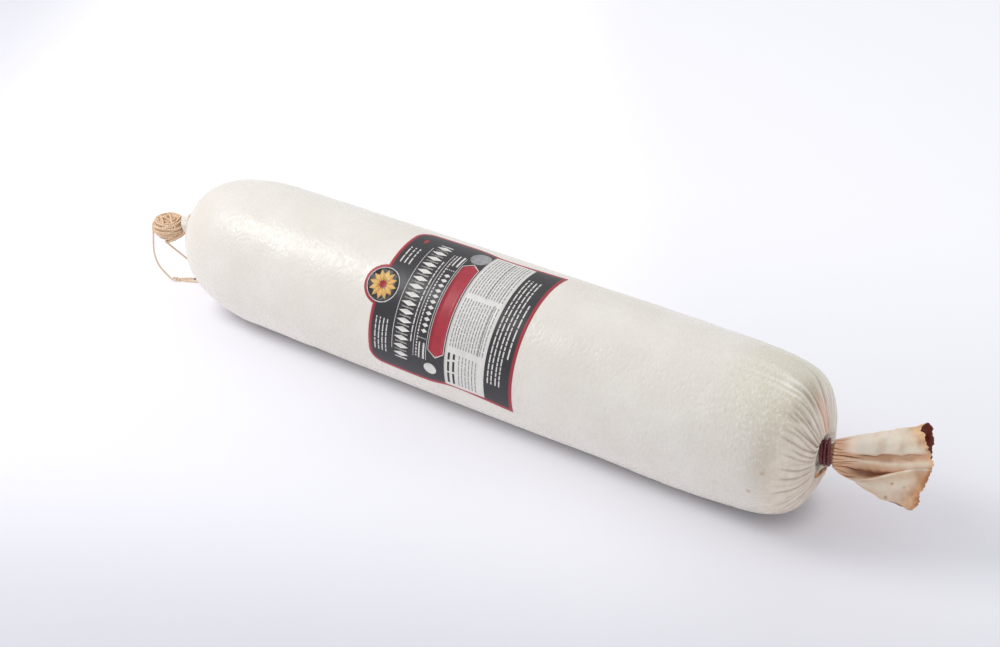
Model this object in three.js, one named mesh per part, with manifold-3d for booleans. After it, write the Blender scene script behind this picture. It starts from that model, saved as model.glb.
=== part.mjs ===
// A large salami in a white casing, lying on its side, with a square label,
// a dark cord round one gathered end and a bundle of twine with a hanging loop at the other.
// Millimetres. X runs along the salami, Y across it, and Z is up from the table at Z = 0.
import * as THREE from 'three';
import { mergeVertices } from 'three/addons/utils/BufferGeometryUtils.js';
import Module from 'manifold-3d';

const wasm = await Module();
wasm.setup();

// Driving dimensions
const BODY_RADIUS = 53;
const FLAT_DEPTH = 1.4; // how far the underside is pressed flat where it rests
const GAP = 0.3; // clearance between pieces that touch
const AXIS_HEIGHT = BODY_RADIUS - FLAT_DEPTH;
const BARREL = 0.012; // share of the radius lost from the middle of the body to its shoulders

const PLEATS = 28; // folds of the casing that run to each tied end
const PLEAT_SHAPE = [1, 0.35, 0, 0.35]; // depth of each point of a pleat, from its valley on
const AROUND = PLEATS * PLEAT_SHAPE.length;
const PLEAT_DEPTH = 1.1;
const PLEAT_CROWDING = 0.35; // the most a valley sinks, as a share of its pleat's width
const PLEATS_WHOLE = 0.45; // share of the body's radius within which pleats have their full depth
const PLEATS_GONE = 0.96; // and beyond which there are none at the near end
const FAR_PLEATS_GONE = 0.75; // or at the far end
const NECK_RADIUS = 5.6;
const NECK_TURN_RINGS = 3; // rings over which an end turns to its neck's direction

const TIE_CORD = 2.2;
const TIE_TURNS = 3;
const TIE_START_RADIUS = 7;
const TIE_END_RADIUS = 8.2; // the last turn rides up on the flaring tail
const TIE_RISE = 0.6; // how far the last turn lies above the others
const TIE_RISES = [0.55, 0.8]; // shares of the cord's length between which it rises
const TIE_SHIFT = 0.4; // how far towards the tail the turns lie from the tie's middle
const TWINE = 1.6;
const FAR_TIE_TURNS = 3;
const FAR_TIE_AT = 0.42; // share of the way along the far neck
const COIL_GAP = 0.1; // clearance between neighbouring turns
const COIL_START = 0.25; // where a coil's ends lie, as a share of a turn, away from the front
const CORD_SIDES = 8;
const TIE_STEPS = 48;
const FAR_TIE_STEPS = 42;
const FRONT_STEPS = 16;
const BACK_STEPS = 20;
const CUT_END_STEPS = 5;

const CASING_WALL = 0.8; // thickness of the dry tail's wall
const LABEL_THICKNESS = 0.4;
const CLEAR_OF_TABLE = 0.05;
const MERGE_WITHIN = 0.0001;

// Stations of the body between its ends, in radii from the tied near end
const MIDDLE = [-6.9, -5.9, -4.7, -3.6, -2.6];

// The near end: distance from the tied end, radius and shift of the centre (y, z),
// all as shares of the body's radius, from the shoulder to the gathered middle
const NEAR_END = [
  [-1.5, 1, 0, 0],
  [-1.0, 0.985, 0, 0],
  [-0.56, 0.95, -0.007, -0.004],
  [-0.31, 0.88, -0.017, -0.008],
  [-0.15, 0.75, -0.035, -0.018],
  [-0.03, 0.55, -0.063, -0.03],
  [0.04, 0.35, -0.09, -0.01],
];
const NEAR_STEPS = 10;
const NEAR_TIE_AT = [0.06, -0.115, 0.09];
const NEAR_NECK_AIM = [0.949, 0.311, 0.044];
// Rings that dip into the gathered middle: along the neck from the tie's middle, and radius
const NEAR_DIMPLE = [
  [-2.0, 11.2],
  [-4.2, 8.8],
  [-5.2, 6.7],
  [-3.4, NECK_RADIUS],
  [0, NECK_RADIUS],
];

const FAR_END = [
  [-7.85, 1, 0, 0],
  [-8.35, 0.985, 0.001, 0.003],
  [-8.83, 0.88, 0.006, 0.021],
  [-9.11, 0.75, 0.013, 0.044],
  [-9.31, 0.55, 0.023, 0.08],
  [-9.44, 0.3, 0.02, 0.12],
];
const FAR_STEPS = 8;
const HANK_AT = [-9.93, -0.2, -0.03];
const HANK_RADIUS = 12.5;
const HANK_HEIGHT = 16;
const HANK_CLEARANCE = 1; // between its side and the far neck, whose end slants over its rim
const FAR_NECK_START = [-9.47, 0.0, 0.12];
// Rings of the far neck: share of the way to the bundle's side, and radius
const FAR_DIMPLE = [
  [-0.16, 11],
  [-0.04, 6.8],
  [0.12, NECK_RADIUS],
  [0.7, NECK_RADIUS],
  [1, NECK_RADIUS + 1.4],
];

// The label: where it lies on the body, and its outline
const LABEL_MID_ANGLE = 44.5; // degrees up from the front, 90 is the top
const LABEL_TOP = -5.767;
const LABEL_BOTTOM = -3.61;
const LABEL_CORNER = 9.7;
const BADGE_RADIUS = 14.5;
const BADGE_SINK = 3; // how far the badge's centre lies inside the top edge
// Half the label's width at shares of the way down
const LABEL_HALF_WIDTH = [
  [0, 56.8],
  [0.35, 58],
  [0.62, 54.5],
  [1, 57.4],
];

// Vectors and small helpers
const X_AXIS = new THREE.Vector3(1, 0, 0);
const TO_FRONT = new THREE.Vector3(0, -1, 0);
const UPWARD = new THREE.Vector3(0, 0, 1);

function vec(list) {
  return new THREE.Vector3(list[0], list[1], list[2]);
}

function bodyPoint([along, across, up]) {
  return new THREE.Vector3(
    along * BODY_RADIUS,
    across * BODY_RADIUS,
    AXIS_HEIGHT + up * BODY_RADIUS,
  );
}

const TIE_CENTRE = bodyPoint(NEAR_TIE_AT);
const TAIL_AIM = vec(NEAR_NECK_AIM).normalize();
const HANK_CENTRE = bodyPoint(HANK_AT);
const FAR_NECK_BASE = bodyPoint(FAR_NECK_START);
const FAR_NECK_AIM = HANK_CENTRE.clone().sub(FAR_NECK_BASE).normalize();
const FAR_NECK_LENGTH = HANK_CENTRE.distanceTo(FAR_NECK_BASE) - HANK_RADIUS - HANK_CLEARANCE;

// One closed mesh from a grid of rings, each a list of the same number of points,
// with a fan of triangles over the first ring and the last
function ringSolid(rings) {
  const around = rings[0].length;
  const points = rings.flat();
  const faces = [];
  for (let i = 0; i + 1 < rings.length; i += 1) {
    for (let j = 0; j < around; j += 1) {
      const next = (j + 1) % around;
      const a = i * around + j;
      const b = i * around + next;
      faces.push([a, b, b + around], [a, b + around, a + around]);
    }
  }
  const last = (rings.length - 1) * around;
  const startMiddle = points.push(middleOf(rings[0])) - 1;
  const endMiddle = points.push(middleOf(rings[rings.length - 1])) - 1;
  for (let j = 0; j < around; j += 1) {
    const next = (j + 1) % around;
    faces.push([startMiddle, next, j], [endMiddle, last + j, last + next]);
  }
  return closedGeometry(points, faces);
}

function middleOf(ring) {
  const sum = new THREE.Vector3();
  for (const point of ring) sum.add(point);
  return sum.divideScalar(ring.length);
}

// A geometry whose faces all point out, whichever way round they were listed
function closedGeometry(points, faces) {
  let volume = 0;
  for (const [a, b, c] of faces) {
    volume += points[a].dot(points[b].clone().cross(points[c]));
  }
  const index = faces.flatMap(([a, b, c]) => (volume > 0 ? [a, b, c] : [a, c, b]));
  const geometry = new THREE.BufferGeometry();
  const position = points.flatMap((point) => point.toArray());
  geometry.setAttribute('position', new THREE.Float32BufferAttribute(position, 3));
  geometry.setIndex(index);
  geometry.computeVertexNormals();
  return geometry;
}

function smoothStep(low, high, value) {
  return THREE.MathUtils.smoothstep(value, low, high);
}

// The filled casing

// The body's radius along X, a little fuller in the middle
function barrelRadius(along) {
  const middle = (NEAR_END[0][0] + FAR_END[0][0]) / 2;
  const half = (NEAR_END[0][0] - FAR_END[0][0]) / 2;
  const share = Math.min(1, Math.abs(along - middle) / half);
  return BODY_RADIUS * (1 - BARREL * share * share);
}

// Rings of an end, from its list of stations
function endRings(stations, steps) {
  const curve = new THREE.CatmullRomCurve3(
    stations.map(([along, radius]) => new THREE.Vector3(along, radius, 0)), false, 'centripetal');
  const shift = new THREE.CatmullRomCurve3(
    stations.map(([, , across, up]) => new THREE.Vector3(0, across, up)), false, 'centripetal');
  return Array.from({ length: steps + 1 }, (_, i) => {
    const station = curve.getPoint(i / steps);
    const offset = shift.getPoint(i / steps);
    return {
      centre: bodyPoint([station.x, offset.y, offset.z]),
      aim: X_AXIS,
      radius: station.y * barrelRadius(station.x),
    };
  });
}

// Rings that lead from an end's last station into its neck, turning to the neck's direction
function neckRings(stations, base, aim, scale) {
  return stations.map(([along, radius], i) => ({
    centre: base.clone().addScaledVector(aim, along * scale),
    aim: X_AXIS.clone().lerp(aim.x < 0 ? aim.clone().negate() : aim,
      Math.min(1, (i + 1) / NECK_TURN_RINGS)).normalize(),
    radius,
  }));
}

// How far a pleat's valley sinks, from nothing at the shoulder to the full depth near the neck
function pleatDepth({ radius, centre }) {
  const share = radius / BODY_RADIUS;
  const gone = centre.x / BODY_RADIUS < MIDDLE[0] ? FAR_PLEATS_GONE : PLEATS_GONE;
  const crowd = (2 * Math.PI * radius) / PLEATS;
  const most = Math.min(PLEAT_DEPTH, crowd * PLEAT_CROWDING);
  return most * (1 - smoothStep(PLEATS_WHOLE, gone, share));
}

// Pleats are of uneven width: the angle of a point drifts to and fro round the ring
function pleatAngle(turn) {
  return turn + 0.05 * Math.sin(3 * turn + 1) + 0.035 * Math.sin(7 * turn + 2.1);
}

// Slow swellings of the body, none under the label: how many lobes each has round the body,
// the distance along it in which it shifts by one radian, and where it starts
const SWELL = 0.3;
const SWELL_WAVES = [
  { lobes: 2, drift: 31, start: 0 },
  { lobes: 5, drift: -19, start: 1.7 },
];
const SWELL_STARTS = LABEL_BOTTOM + 0.1;
const SWELL_WHOLE = LABEL_BOTTOM + 0.7;

function swelling(x, turn) {
  const wave = SWELL_WAVES.reduce(
    (sum, { lobes, drift, start }) => sum + Math.sin(lobes * turn + x / drift + start), 0);
  return SWELL * wave * smoothStep(SWELL_STARTS, SWELL_WHOLE, x / BODY_RADIUS);
}

// Shares of the body's radius: from the first to the second the points round a ring go over to
// even spacing, and rings within the last have no swelling
const EVEN_FROM = 0.7;
const EVEN_WHOLE = 0.97;
const NO_SWELL_WITHIN = 0.5;

function ringPoints(ring, before, after) {
  const turnTo = new THREE.Quaternion().setFromUnitVectors(X_AXIS, ring.aim);
  const front = TO_FRONT.clone().applyQuaternion(turnTo);
  const up = UPWARD.clone().applyQuaternion(turnTo);
  const forward = after.centre.clone().sub(before.centre).dot(ring.aim);
  const slope = new THREE.Vector2(before.radius - after.radius, forward).normalize();
  const depth = pleatDepth(ring);
  const onBody = ring.radius / BODY_RADIUS;
  return Array.from({ length: AROUND }, (_, j) => {
    const turn = (2 * Math.PI * j) / AROUND;
    const angle = THREE.MathUtils.lerp(
      pleatAngle(turn), turn, smoothStep(EVEN_FROM, EVEN_WHOLE, onBody));
    const valley = PLEAT_SHAPE[j % PLEAT_SHAPE.length];
    const outward = front.clone().multiplyScalar(Math.cos(angle))
      .addScaledVector(up, Math.sin(angle));
    const swell = onBody > NO_SWELL_WITHIN ? swelling(ring.centre.x, angle) : 0;
    const point = ring.centre.clone().addScaledVector(outward, ring.radius + swell);
    point.addScaledVector(outward, -depth * valley * slope.y);
    point.addScaledVector(ring.aim, -depth * valley * slope.x);
    point.z = Math.max(point.z, 0);
    return point;
  });
}

function casingGeometry() {
  const middleStations = MIDDLE.map((along) => ({
    centre: bodyPoint([along, 0, 0]),
    aim: X_AXIS,
    radius: barrelRadius(along),
  }));
  const farNeck = neckRings(FAR_DIMPLE, FAR_NECK_BASE, FAR_NECK_AIM, FAR_NECK_LENGTH);
  const rings = [
    ...farNeck.reverse(),
    ...endRings(FAR_END, FAR_STEPS).reverse(),
    ...middleStations,
    ...endRings(NEAR_END, NEAR_STEPS),
    ...neckRings(NEAR_DIMPLE, TIE_CENTRE, TAIL_AIM, 1),
  ];
  return ringSolid(rings.map((ring, i) => {
    const before = rings[Math.max(0, i - 1)];
    const after = rings[Math.min(rings.length - 1, i + 1)];
    return ringPoints(ring, before, after);
  }));
}

// The tail: the empty end of the casing, a flattened tube with folds, open at its end.
// Three outlines of it, each with its share of the way from the neck to the mouth. Their points
// are along the tail, across it (down in front) and away from the front.
const TAIL_OUTLINES = [
  {
    share: 0.27,
    points: [
      [20, -13.2, 2], // top edge
      [20.5, -9.5, -3.6],
      [21, -5.5, -4.6],
      [21, -2.2, -4],
      [21, 0.3, -2.4], // first crease
      [21, 2, -3.8],
      [21, 4.2, -3.4],
      [21, 9.5, -0.6], // deep fold
      [20, 13.6, -0.9], // where the flap starts
      [20, 15.2, -0.4],
      [20, 15.9, 0.4],
      [19.5, 16, 1.6], // bottom edge
      [20, 12.5, 4],
      [20, 4.5, 6],
      [20, -5, 5.6],
      [20, -11.5, 4.4],
    ],
  },
  {
    share: 0.56,
    points: [
      [36, -18.2, 1.5],
      [36.5, -13.5, -3],
      [37.5, -8, -4.4],
      [38, -3.6, -3.8],
      [38, -1.6, -1.6],
      [38, 1.6, -3.8],
      [38, 5.2, -2.9],
      [38, 9.5, 1.8],
      [38, 8.2, -2.8], // upper edge of the flap
      [37.5, 13, -3],
      [36.5, 18.8, -2],
      [35.5, 24, 0.8],
      [36, 17, 4.4],
      [36, 6, 6],
      [36, -6.5, 5.8],
      [36, -14.8, 4.2],
    ],
  },
  {
    share: 1,
    points: [
      [54, -21.5, 0.5],
      [56.5, -18.5, -4],
      [59, -13, -6],
      [60.5, -8.5, -6],
      [62, -5.2, -4.2],
      [63, -2.5, -5],
      [63, 0.6, -3.6],
      [62, 5.5, 2],
      [63, 2, -3.4],
      [60.5, 8, -3.6],
      [58, 17, -2.6],
      [55, 29, 0.5],
      [57.5, 17, 4.5],
      [60, 3, 7.5],
      [62.5, -11, 7],
      [59, -24.5, 3.5],
    ],
  },
];
const TAIL_AROUND = TAIL_OUTLINES[0].points.length * 3;
// Round rings inside and just past the tie: along the tail, and radius
const TAIL_NECK = [
  [GAP, NECK_RADIUS],
  [4, 5.8],
  [5.1, 7.2],
  [5.55, 8.6],
];
const TAIL_LEAN = 0.52; // how far the flat tail leans over towards the front
const TAIL_STEPS = 8;
const HOLLOW_STEPS = 4; // how many steps of the wall, from the mouth, are hollow behind

function tailAxes() {
  const across = UPWARD.clone().negate();
  across.addScaledVector(TAIL_AIM, -across.dot(TAIL_AIM));
  across.addScaledVector(TO_FRONT, TAIL_LEAN).normalize();
  across.addScaledVector(TAIL_AIM, -across.dot(TAIL_AIM)).normalize();
  const away = TAIL_AIM.clone().cross(across).normalize();
  return { across, away };
}

function tailRing(pointAt) {
  const { across, away } = tailAxes();
  return Array.from({ length: TAIL_AROUND }, (_, j) => {
    const [along, down, back] = pointAt(j / TAIL_AROUND);
    return TIE_CENTRE.clone().addScaledVector(TAIL_AIM, along)
      .addScaledVector(across, down).addScaledVector(away, back);
  });
}

function roundPoint(turn, along, radius) {
  const angle = 2 * Math.PI * turn;
  return [along, -radius * Math.cos(angle), -radius * Math.sin(angle)];
}

// The wall between the neck and the mouth, each strip of it one gentle curve
function tailWall() {
  const outlines = TAIL_OUTLINES.map(({ points }) =>
    new THREE.CatmullRomCurve3(points.map(vec), true, 'centripetal'));
  const shares = [0, ...TAIL_OUTLINES.map(({ share }) => share)];
  const [neckAlong, neckRadius] = TAIL_NECK[TAIL_NECK.length - 1];
  return Array.from({ length: TAIL_STEPS }, (_, i) => tailRing((turn) => {
    const start = roundPoint(turn, neckAlong, neckRadius);
    const places = [start, ...outlines.map((outline) => outline.getPoint(turn).toArray())];
    const weights = curveWeights(shares, (i + 1) / TAIL_STEPS);
    return [0, 1, 2].map((axis) =>
      places.reduce((sum, place, k) => sum + place[axis] * weights[k], 0));
  }));
}

// Weights that carry one smooth curve through values given at some shares of the way
function curveWeights(shares, t) {
  return shares.map((own) => shares.reduce(
    (weight, other) => (other === own ? weight : (weight * (t - other)) / (own - other)), 1));
}

// The same ring one wall thickness further in
function innerRing(rings, i) {
  const ring = rings[i];
  return ring.map((point, j) => {
    const left = ring[(j + TAIL_AROUND - 1) % TAIL_AROUND];
    const right = ring[(j + 1) % TAIL_AROUND];
    const inward = point.clone().sub(rings[i - 1][j]).cross(right.clone().sub(left)).normalize();
    return point.clone().addScaledVector(inward, CASING_WALL);
  });
}

function tailGeometry() {
  const outer = [
    ...TAIL_NECK.map(([along, radius]) =>
      tailRing((turn) => roundPoint(turn, along, radius))),
    ...tailWall(),
  ];
  const inner = [];
  for (let i = outer.length - 1; i > outer.length - 1 - HOLLOW_STEPS; i -= 1) {
    inner.push(innerRing(outer, i));
  }
  return ringSolid([...outer, ...inner]);
}

// Cords
class CoilCurve extends THREE.Curve {
  constructor(base, aim, turns, pitch, startRadius, endRadius, rise = 0) {
    super();
    Object.assign(this, { base, turns, pitch, startRadius, endRadius, rise });
    this.turnTo = new THREE.Quaternion().setFromUnitVectors(UPWARD, aim);
  }

  getPoint(t, target = new THREE.Vector3()) {
    const angle = 2 * Math.PI * (this.turns * t + COIL_START);
    const radius = THREE.MathUtils.lerp(this.startRadius, this.endRadius, t * t);
    const along = (t - 0.5) * this.turns * this.pitch;
    target.set(radius * Math.cos(angle), radius * Math.sin(angle), along);
    target.applyQuaternion(this.turnTo).add(this.base);
    target.z += this.rise * smoothStep(TIE_RISES[0], TIE_RISES[1], t);
    return target;
  }
}

function cordGeometry(curve, diameter, steps) {
  const section = new THREE.Shape();
  for (let i = 0; i < CORD_SIDES; i += 1) {
    const angle = (2 * Math.PI * i) / CORD_SIDES;
    const x = (diameter / 2) * Math.cos(angle);
    const y = (diameter / 2) * Math.sin(angle);
    if (i === 0) section.moveTo(x, y);
    else section.lineTo(x, y);
  }
  return new THREE.ExtrudeGeometry(section, { steps, extrudePath: curve, bevelEnabled: false });
}

function nearTieGeometry() {
  const middle = TIE_CENTRE.clone().addScaledVector(TAIL_AIM, TIE_SHIFT);
  const pitch = TIE_CORD + COIL_GAP;
  const coil = new CoilCurve(
    middle, TAIL_AIM, TIE_TURNS, pitch, TIE_START_RADIUS, TIE_END_RADIUS, TIE_RISE);
  return cordGeometry(coil, TIE_CORD, TIE_STEPS);
}

function farTieGeometry() {
  const middle = FAR_NECK_BASE.clone().addScaledVector(FAR_NECK_AIM, FAR_NECK_LENGTH * FAR_TIE_AT);
  const radius = NECK_RADIUS + TWINE / 2 + GAP;
  const coil = new CoilCurve(
    middle, FAR_NECK_AIM, FAR_TIE_TURNS, TWINE + COIL_GAP, radius, radius);
  return cordGeometry(coil, TWINE, FAR_TIE_STEPS);
}

// The bundle of twine: it tapers to its foot, its side shows its turns as ridges, and its top is
// domed. Heights are from its middle.
const HANK_WAIST = 1; // where the taper starts
const HANK_TAPER = 0.45; // share of the radius lost at the foot
const HANK_TAPER_POWER = 1.6;
const HANK_RIM = 5.2;
const HANK_RIDGES = 6;
const HANK_GROOVE = 0.7;
const HANK_DOME_AT = [0.85, 0.6, 0.3, 0]; // points of the dome, as shares of the radius
const HANK_SEGMENTS = 28;

function hankBelly(height) {
  const fall = (HANK_WAIST - height) / (HANK_WAIST + HANK_HEIGHT / 2);
  return HANK_RADIUS * (1 - HANK_TAPER * Math.max(0, fall) ** HANK_TAPER_POWER);
}

function hankDome(share) {
  return HANK_HEIGHT / 2 - (HANK_HEIGHT / 2 - HANK_RIM) * share * share;
}

function hankGeometry() {
  const foot = -HANK_HEIGHT / 2;
  const pitch = (HANK_RIM - foot) / HANK_RIDGES;
  const profile = [new THREE.Vector2(0, foot)];
  for (let i = 0; i < HANK_RIDGES; i += 1) {
    const groove = foot + pitch * i;
    const ridge = groove + pitch / 2;
    profile.push(new THREE.Vector2(hankBelly(groove) - HANK_GROOVE, groove));
    profile.push(new THREE.Vector2(hankBelly(ridge), ridge));
  }
  profile.push(new THREE.Vector2(HANK_RADIUS - HANK_GROOVE, HANK_RIM));
  for (const share of HANK_DOME_AT) {
    profile.push(new THREE.Vector2(HANK_RADIUS * share, hankDome(share)));
  }
  const geometry = new THREE.LatheGeometry(profile, HANK_SEGMENTS);
  geometry.rotateX(Math.PI / 2);
  geometry.translate(HANK_CENTRE.x, HANK_CENTRE.y, HANK_CENTRE.z);
  return geometry;
}

// The hanging loop: two strands that come down from the bundle to a knot on the table.
// Points are along, across and up in millimetres from the foot of the bundle's middle.
const FRONT_STRAND = [
  [-12.85, -4.6, 51],
  [-13.05, -4.8, 46.5],
  [-13.4, -5, 41],
  [-14.2, -5.2, 35],
  [-14.8, -5.2, 27],
  [-14.6, -3.7, 17.5],
  [-13.2, -1.5, 10.4],
  [-10.6, 0.9, 4.8],
  [-8.3, 1.9, 1.8],
  [-6.4, 2.4, 0.95],
];
const BACK_STRAND = [
  [2.6, -6.9, 40.9],
  [5, -5.6, 38.2],
  [9, -3.5, 34],
  [14.5, 0.2, 27],
  [19.5, 3.6, 19.5],
  [23, 6.8, 11],
  [23.4, 9.8, 4.5],
  [20.4, 12.1, 1.2],
  [15.5, 11.6, 0.85],
  [8, 8.6, 0.85],
  [2.4, 6.2, 0.9],
  [-1.4, 4.6, 0.95],
];
// The knot's short cut end, which lies beside the back strand
const CUT_END = [
  [-3.9, 3.4, 1],
  [-1.6, 6.6, 0.85],
  [2.6, 10, 0.85],
  [8, 12.9, 0.85],
];
const KNOT_RADIUS = 1.5;
const KNOT_AT = [0, 0.25, 0.5, 0.75, 1]; // its rings, as shares of its length
const KNOT_SIDES = 10;

function strandCurve(points) {
  const foot = new THREE.Vector3(HANK_CENTRE.x, HANK_CENTRE.y, 0);
  return new THREE.CatmullRomCurve3(
    points.map((point) => vec(point).add(foot)), false, 'centripetal');
}

// The knot: a lump between the ends of the two strands, with one short cut end
function knotGeometry() {
  const start = strandCurve(FRONT_STRAND).getPoint(1);
  const end = strandCurve(BACK_STRAND).getPoint(1);
  const aim = end.clone().sub(start).normalize();
  start.addScaledVector(aim, GAP);
  end.addScaledVector(aim, -GAP);
  const turnTo = new THREE.Quaternion().setFromUnitVectors(X_AXIS, aim);
  const rings = KNOT_AT.map((t) => {
    const radius = THREE.MathUtils.lerp(TWINE / 2, KNOT_RADIUS, Math.sin(Math.PI * t));
    const centre = start.clone().lerp(end, t);
    centre.z = Math.max(centre.z, radius + CLEAR_OF_TABLE);
    return Array.from({ length: KNOT_SIDES }, (_, j) => {
      const angle = (2 * Math.PI * j) / KNOT_SIDES;
      return new THREE.Vector3(0, -Math.cos(angle), Math.sin(angle)).multiplyScalar(radius)
        .applyQuaternion(turnTo).add(centre);
    });
  });
  return joined(ringSolid(rings), cordGeometry(strandCurve(CUT_END), TWINE, CUT_END_STEPS));
}

// Two closed geometries joined into one
function joined(first, second) {
  const { vertProperties, triVerts } = solidOf(first).add(solidOf(second)).getMesh();
  const geometry = new THREE.BufferGeometry();
  geometry.setAttribute('position', new THREE.BufferAttribute(vertProperties, 3));
  geometry.setIndex(new THREE.BufferAttribute(triVerts, 1));
  geometry.computeVertexNormals();
  return geometry;
}

function solidOf(geometry) {
  const bare = geometry.clone();
  bare.deleteAttribute('normal');
  bare.deleteAttribute('uv');
  const merged = mergeVertices(bare, MERGE_WITHIN);
  const vertProperties = new Float32Array(merged.getAttribute('position').array);
  const triVerts = new Uint32Array(merged.getIndex().array);
  return new wasm.Manifold(new wasm.Mesh({ numProp: 3, vertProperties, triVerts }));
}

// The label

// How far the label's top edge lies from its straight line at a place across it,
// less than nothing over the badge and more at the rounded corners
function topEdge(across, halfWidth) {
  const reach = Math.abs(across);
  const cornerStart = halfWidth - LABEL_CORNER;
  if (reach > cornerStart) {
    const run = Math.min(1, (reach - cornerStart) / LABEL_CORNER);
    return LABEL_CORNER * (1 - Math.sqrt(1 - run * run));
  }
  const rise = Math.sqrt(Math.max(0, BADGE_RADIUS ** 2 - across * across)) - BADGE_SINK;
  return -Math.max(0, rise);
}

function labelHalfWidth(down) {
  const curve = new THREE.SplineCurve(
    LABEL_HALF_WIDTH.map(([share, half]) => new THREE.Vector2(share, half)));
  return curve.getPoint(down).y;
}

// Places across the label: over each corner as shares of its radius, then in millimetres from
// the middle along the top edge and over the badge
const CORNER_AT = [1, 0.985, 0.92, 0.8, 0.55, 0];
const EDGE_AT = [41, 35, 29, 23, 18];
const BADGE_AT = [14.18, 13.2, 11, 7.5, 4];
const LABEL_ROWS = 9;

function labelColumns() {
  const half = LABEL_HALF_WIDTH[0][1];
  const corner = CORNER_AT.map((share) => half - LABEL_CORNER * (1 - share));
  const right = [...corner, ...EDGE_AT, ...BADGE_AT].map((place) => place / half);
  return [...right.map((share) => -share), 0, ...right.reverse()];
}

function labelPoint(across, down, height) {
  const half = LABEL_HALF_WIDTH[0][1];
  const length = (LABEL_BOTTOM - LABEL_TOP) * BODY_RADIUS;
  const top = topEdge(across * half, half);
  const place = top + (length - top) * down;
  const width = labelHalfWidth(THREE.MathUtils.clamp(place / length, 0, 1));
  const angle = THREE.MathUtils.degToRad(LABEL_MID_ANGLE) + (across * width) / BODY_RADIUS;
  const x = LABEL_TOP * BODY_RADIUS + place;
  const radius = barrelRadius(x / BODY_RADIUS) + height;
  return new THREE.Vector3(
    x, -radius * Math.cos(angle), AXIS_HEIGHT + radius * Math.sin(angle));
}

function labelGeometry() {
  const columns = labelColumns();
  const points = [];
  const faces = [];
  const perSheet = columns.length * (LABEL_ROWS + 1);
  for (const height of [GAP, GAP + LABEL_THICKNESS]) {
    for (let i = 0; i <= LABEL_ROWS; i += 1) {
      for (const across of columns) points.push(labelPoint(across, i / LABEL_ROWS, height));
    }
  }
  const at = (i, j) => i * columns.length + j;
  for (let i = 0; i < LABEL_ROWS; i += 1) {
    for (let j = 0; j + 1 < columns.length; j += 1) {
      const corners = [at(i, j), at(i + 1, j), at(i + 1, j + 1), at(i, j + 1)];
      addQuad(faces, corners.slice().reverse());
      addQuad(faces, corners.map((corner) => corner + perSheet));
    }
  }
  for (const [a, b] of labelRim(at, LABEL_ROWS, columns.length - 1)) {
    addQuad(faces, [a, b, b + perSheet, a + perSheet]);
  }
  return closedGeometry(points, faces);
}

function addQuad(faces, [a, b, c, d]) {
  faces.push([a, b, c], [a, c, d]);
}

// Pairs of neighbouring points right round the label's edge
function labelRim(at, lastRow, lastColumn) {
  const loop = [];
  for (let i = 0; i < lastRow; i += 1) loop.push(at(i, 0));
  for (let j = 0; j < lastColumn; j += 1) loop.push(at(lastRow, j));
  for (let i = lastRow; i > 0; i -= 1) loop.push(at(i, lastColumn));
  for (let j = lastColumn; j > 0; j -= 1) loop.push(at(0, j));
  return loop.map((start, i) => [start, loop[(i + 1) % loop.length]]);
}

// The parts, each with its own finish
const salami = new THREE.Group();

function addPart(name, geometry, color, roughness) {
  const material = new THREE.MeshStandardMaterial({ color, roughness, metalness: 0 });
  const mesh = new THREE.Mesh(geometry, material);
  mesh.name = name;
  salami.add(mesh);
}

addPart('casing', casingGeometry(), 0xebe7de, 0.4);
addPart('casing_tail', tailGeometry(), 0xdcc3a3, 0.5);
addPart('near_tie', nearTieGeometry(), 0x4a1c20, 0.35);
addPart('label', labelGeometry(), 0x2d2c30, 0.45);
addPart('far_tie', farTieGeometry(), 0xc79c68, 0.8);
addPart('twine_hank', hankGeometry(), 0xcda06e, 0.8);
addPart('loop_front', cordGeometry(strandCurve(FRONT_STRAND), TWINE, FRONT_STEPS), 0xd2ab7a, 0.8);
addPart('loop_back', cordGeometry(strandCurve(BACK_STRAND), TWINE, BACK_STEPS), 0xd2ab7a, 0.8);
addPart('loop_knot', knotGeometry(), 0xb98a58, 0.8);

// The origin goes to the middle of the underside of everything but the hanging loop
const box = new THREE.Box3();
for (const mesh of salami.children) {
  if (!mesh.name.startsWith('loop_')) box.expandByObject(mesh);
}
const middle = box.getCenter(new THREE.Vector3());
salami.position.set(-middle.x, -middle.y, -box.min.z);

export default salami;
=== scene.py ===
import math

import bmesh
import bpy
import numpy as np
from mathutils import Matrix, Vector


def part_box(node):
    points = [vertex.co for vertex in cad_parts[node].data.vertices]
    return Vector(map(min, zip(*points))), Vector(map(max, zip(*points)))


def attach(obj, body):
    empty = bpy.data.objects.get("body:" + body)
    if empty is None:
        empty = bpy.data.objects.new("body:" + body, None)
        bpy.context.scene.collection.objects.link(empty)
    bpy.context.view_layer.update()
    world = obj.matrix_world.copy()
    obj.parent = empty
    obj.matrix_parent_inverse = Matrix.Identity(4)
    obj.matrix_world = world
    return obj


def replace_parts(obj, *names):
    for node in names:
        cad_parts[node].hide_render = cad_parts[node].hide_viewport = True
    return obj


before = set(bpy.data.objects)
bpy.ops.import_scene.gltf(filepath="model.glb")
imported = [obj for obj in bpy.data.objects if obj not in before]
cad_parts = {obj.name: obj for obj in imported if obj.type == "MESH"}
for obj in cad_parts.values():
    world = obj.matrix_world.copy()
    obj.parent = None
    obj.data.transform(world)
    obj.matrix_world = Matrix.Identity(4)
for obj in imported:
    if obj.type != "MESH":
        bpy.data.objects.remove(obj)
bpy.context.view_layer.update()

MM = 0.001

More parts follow.
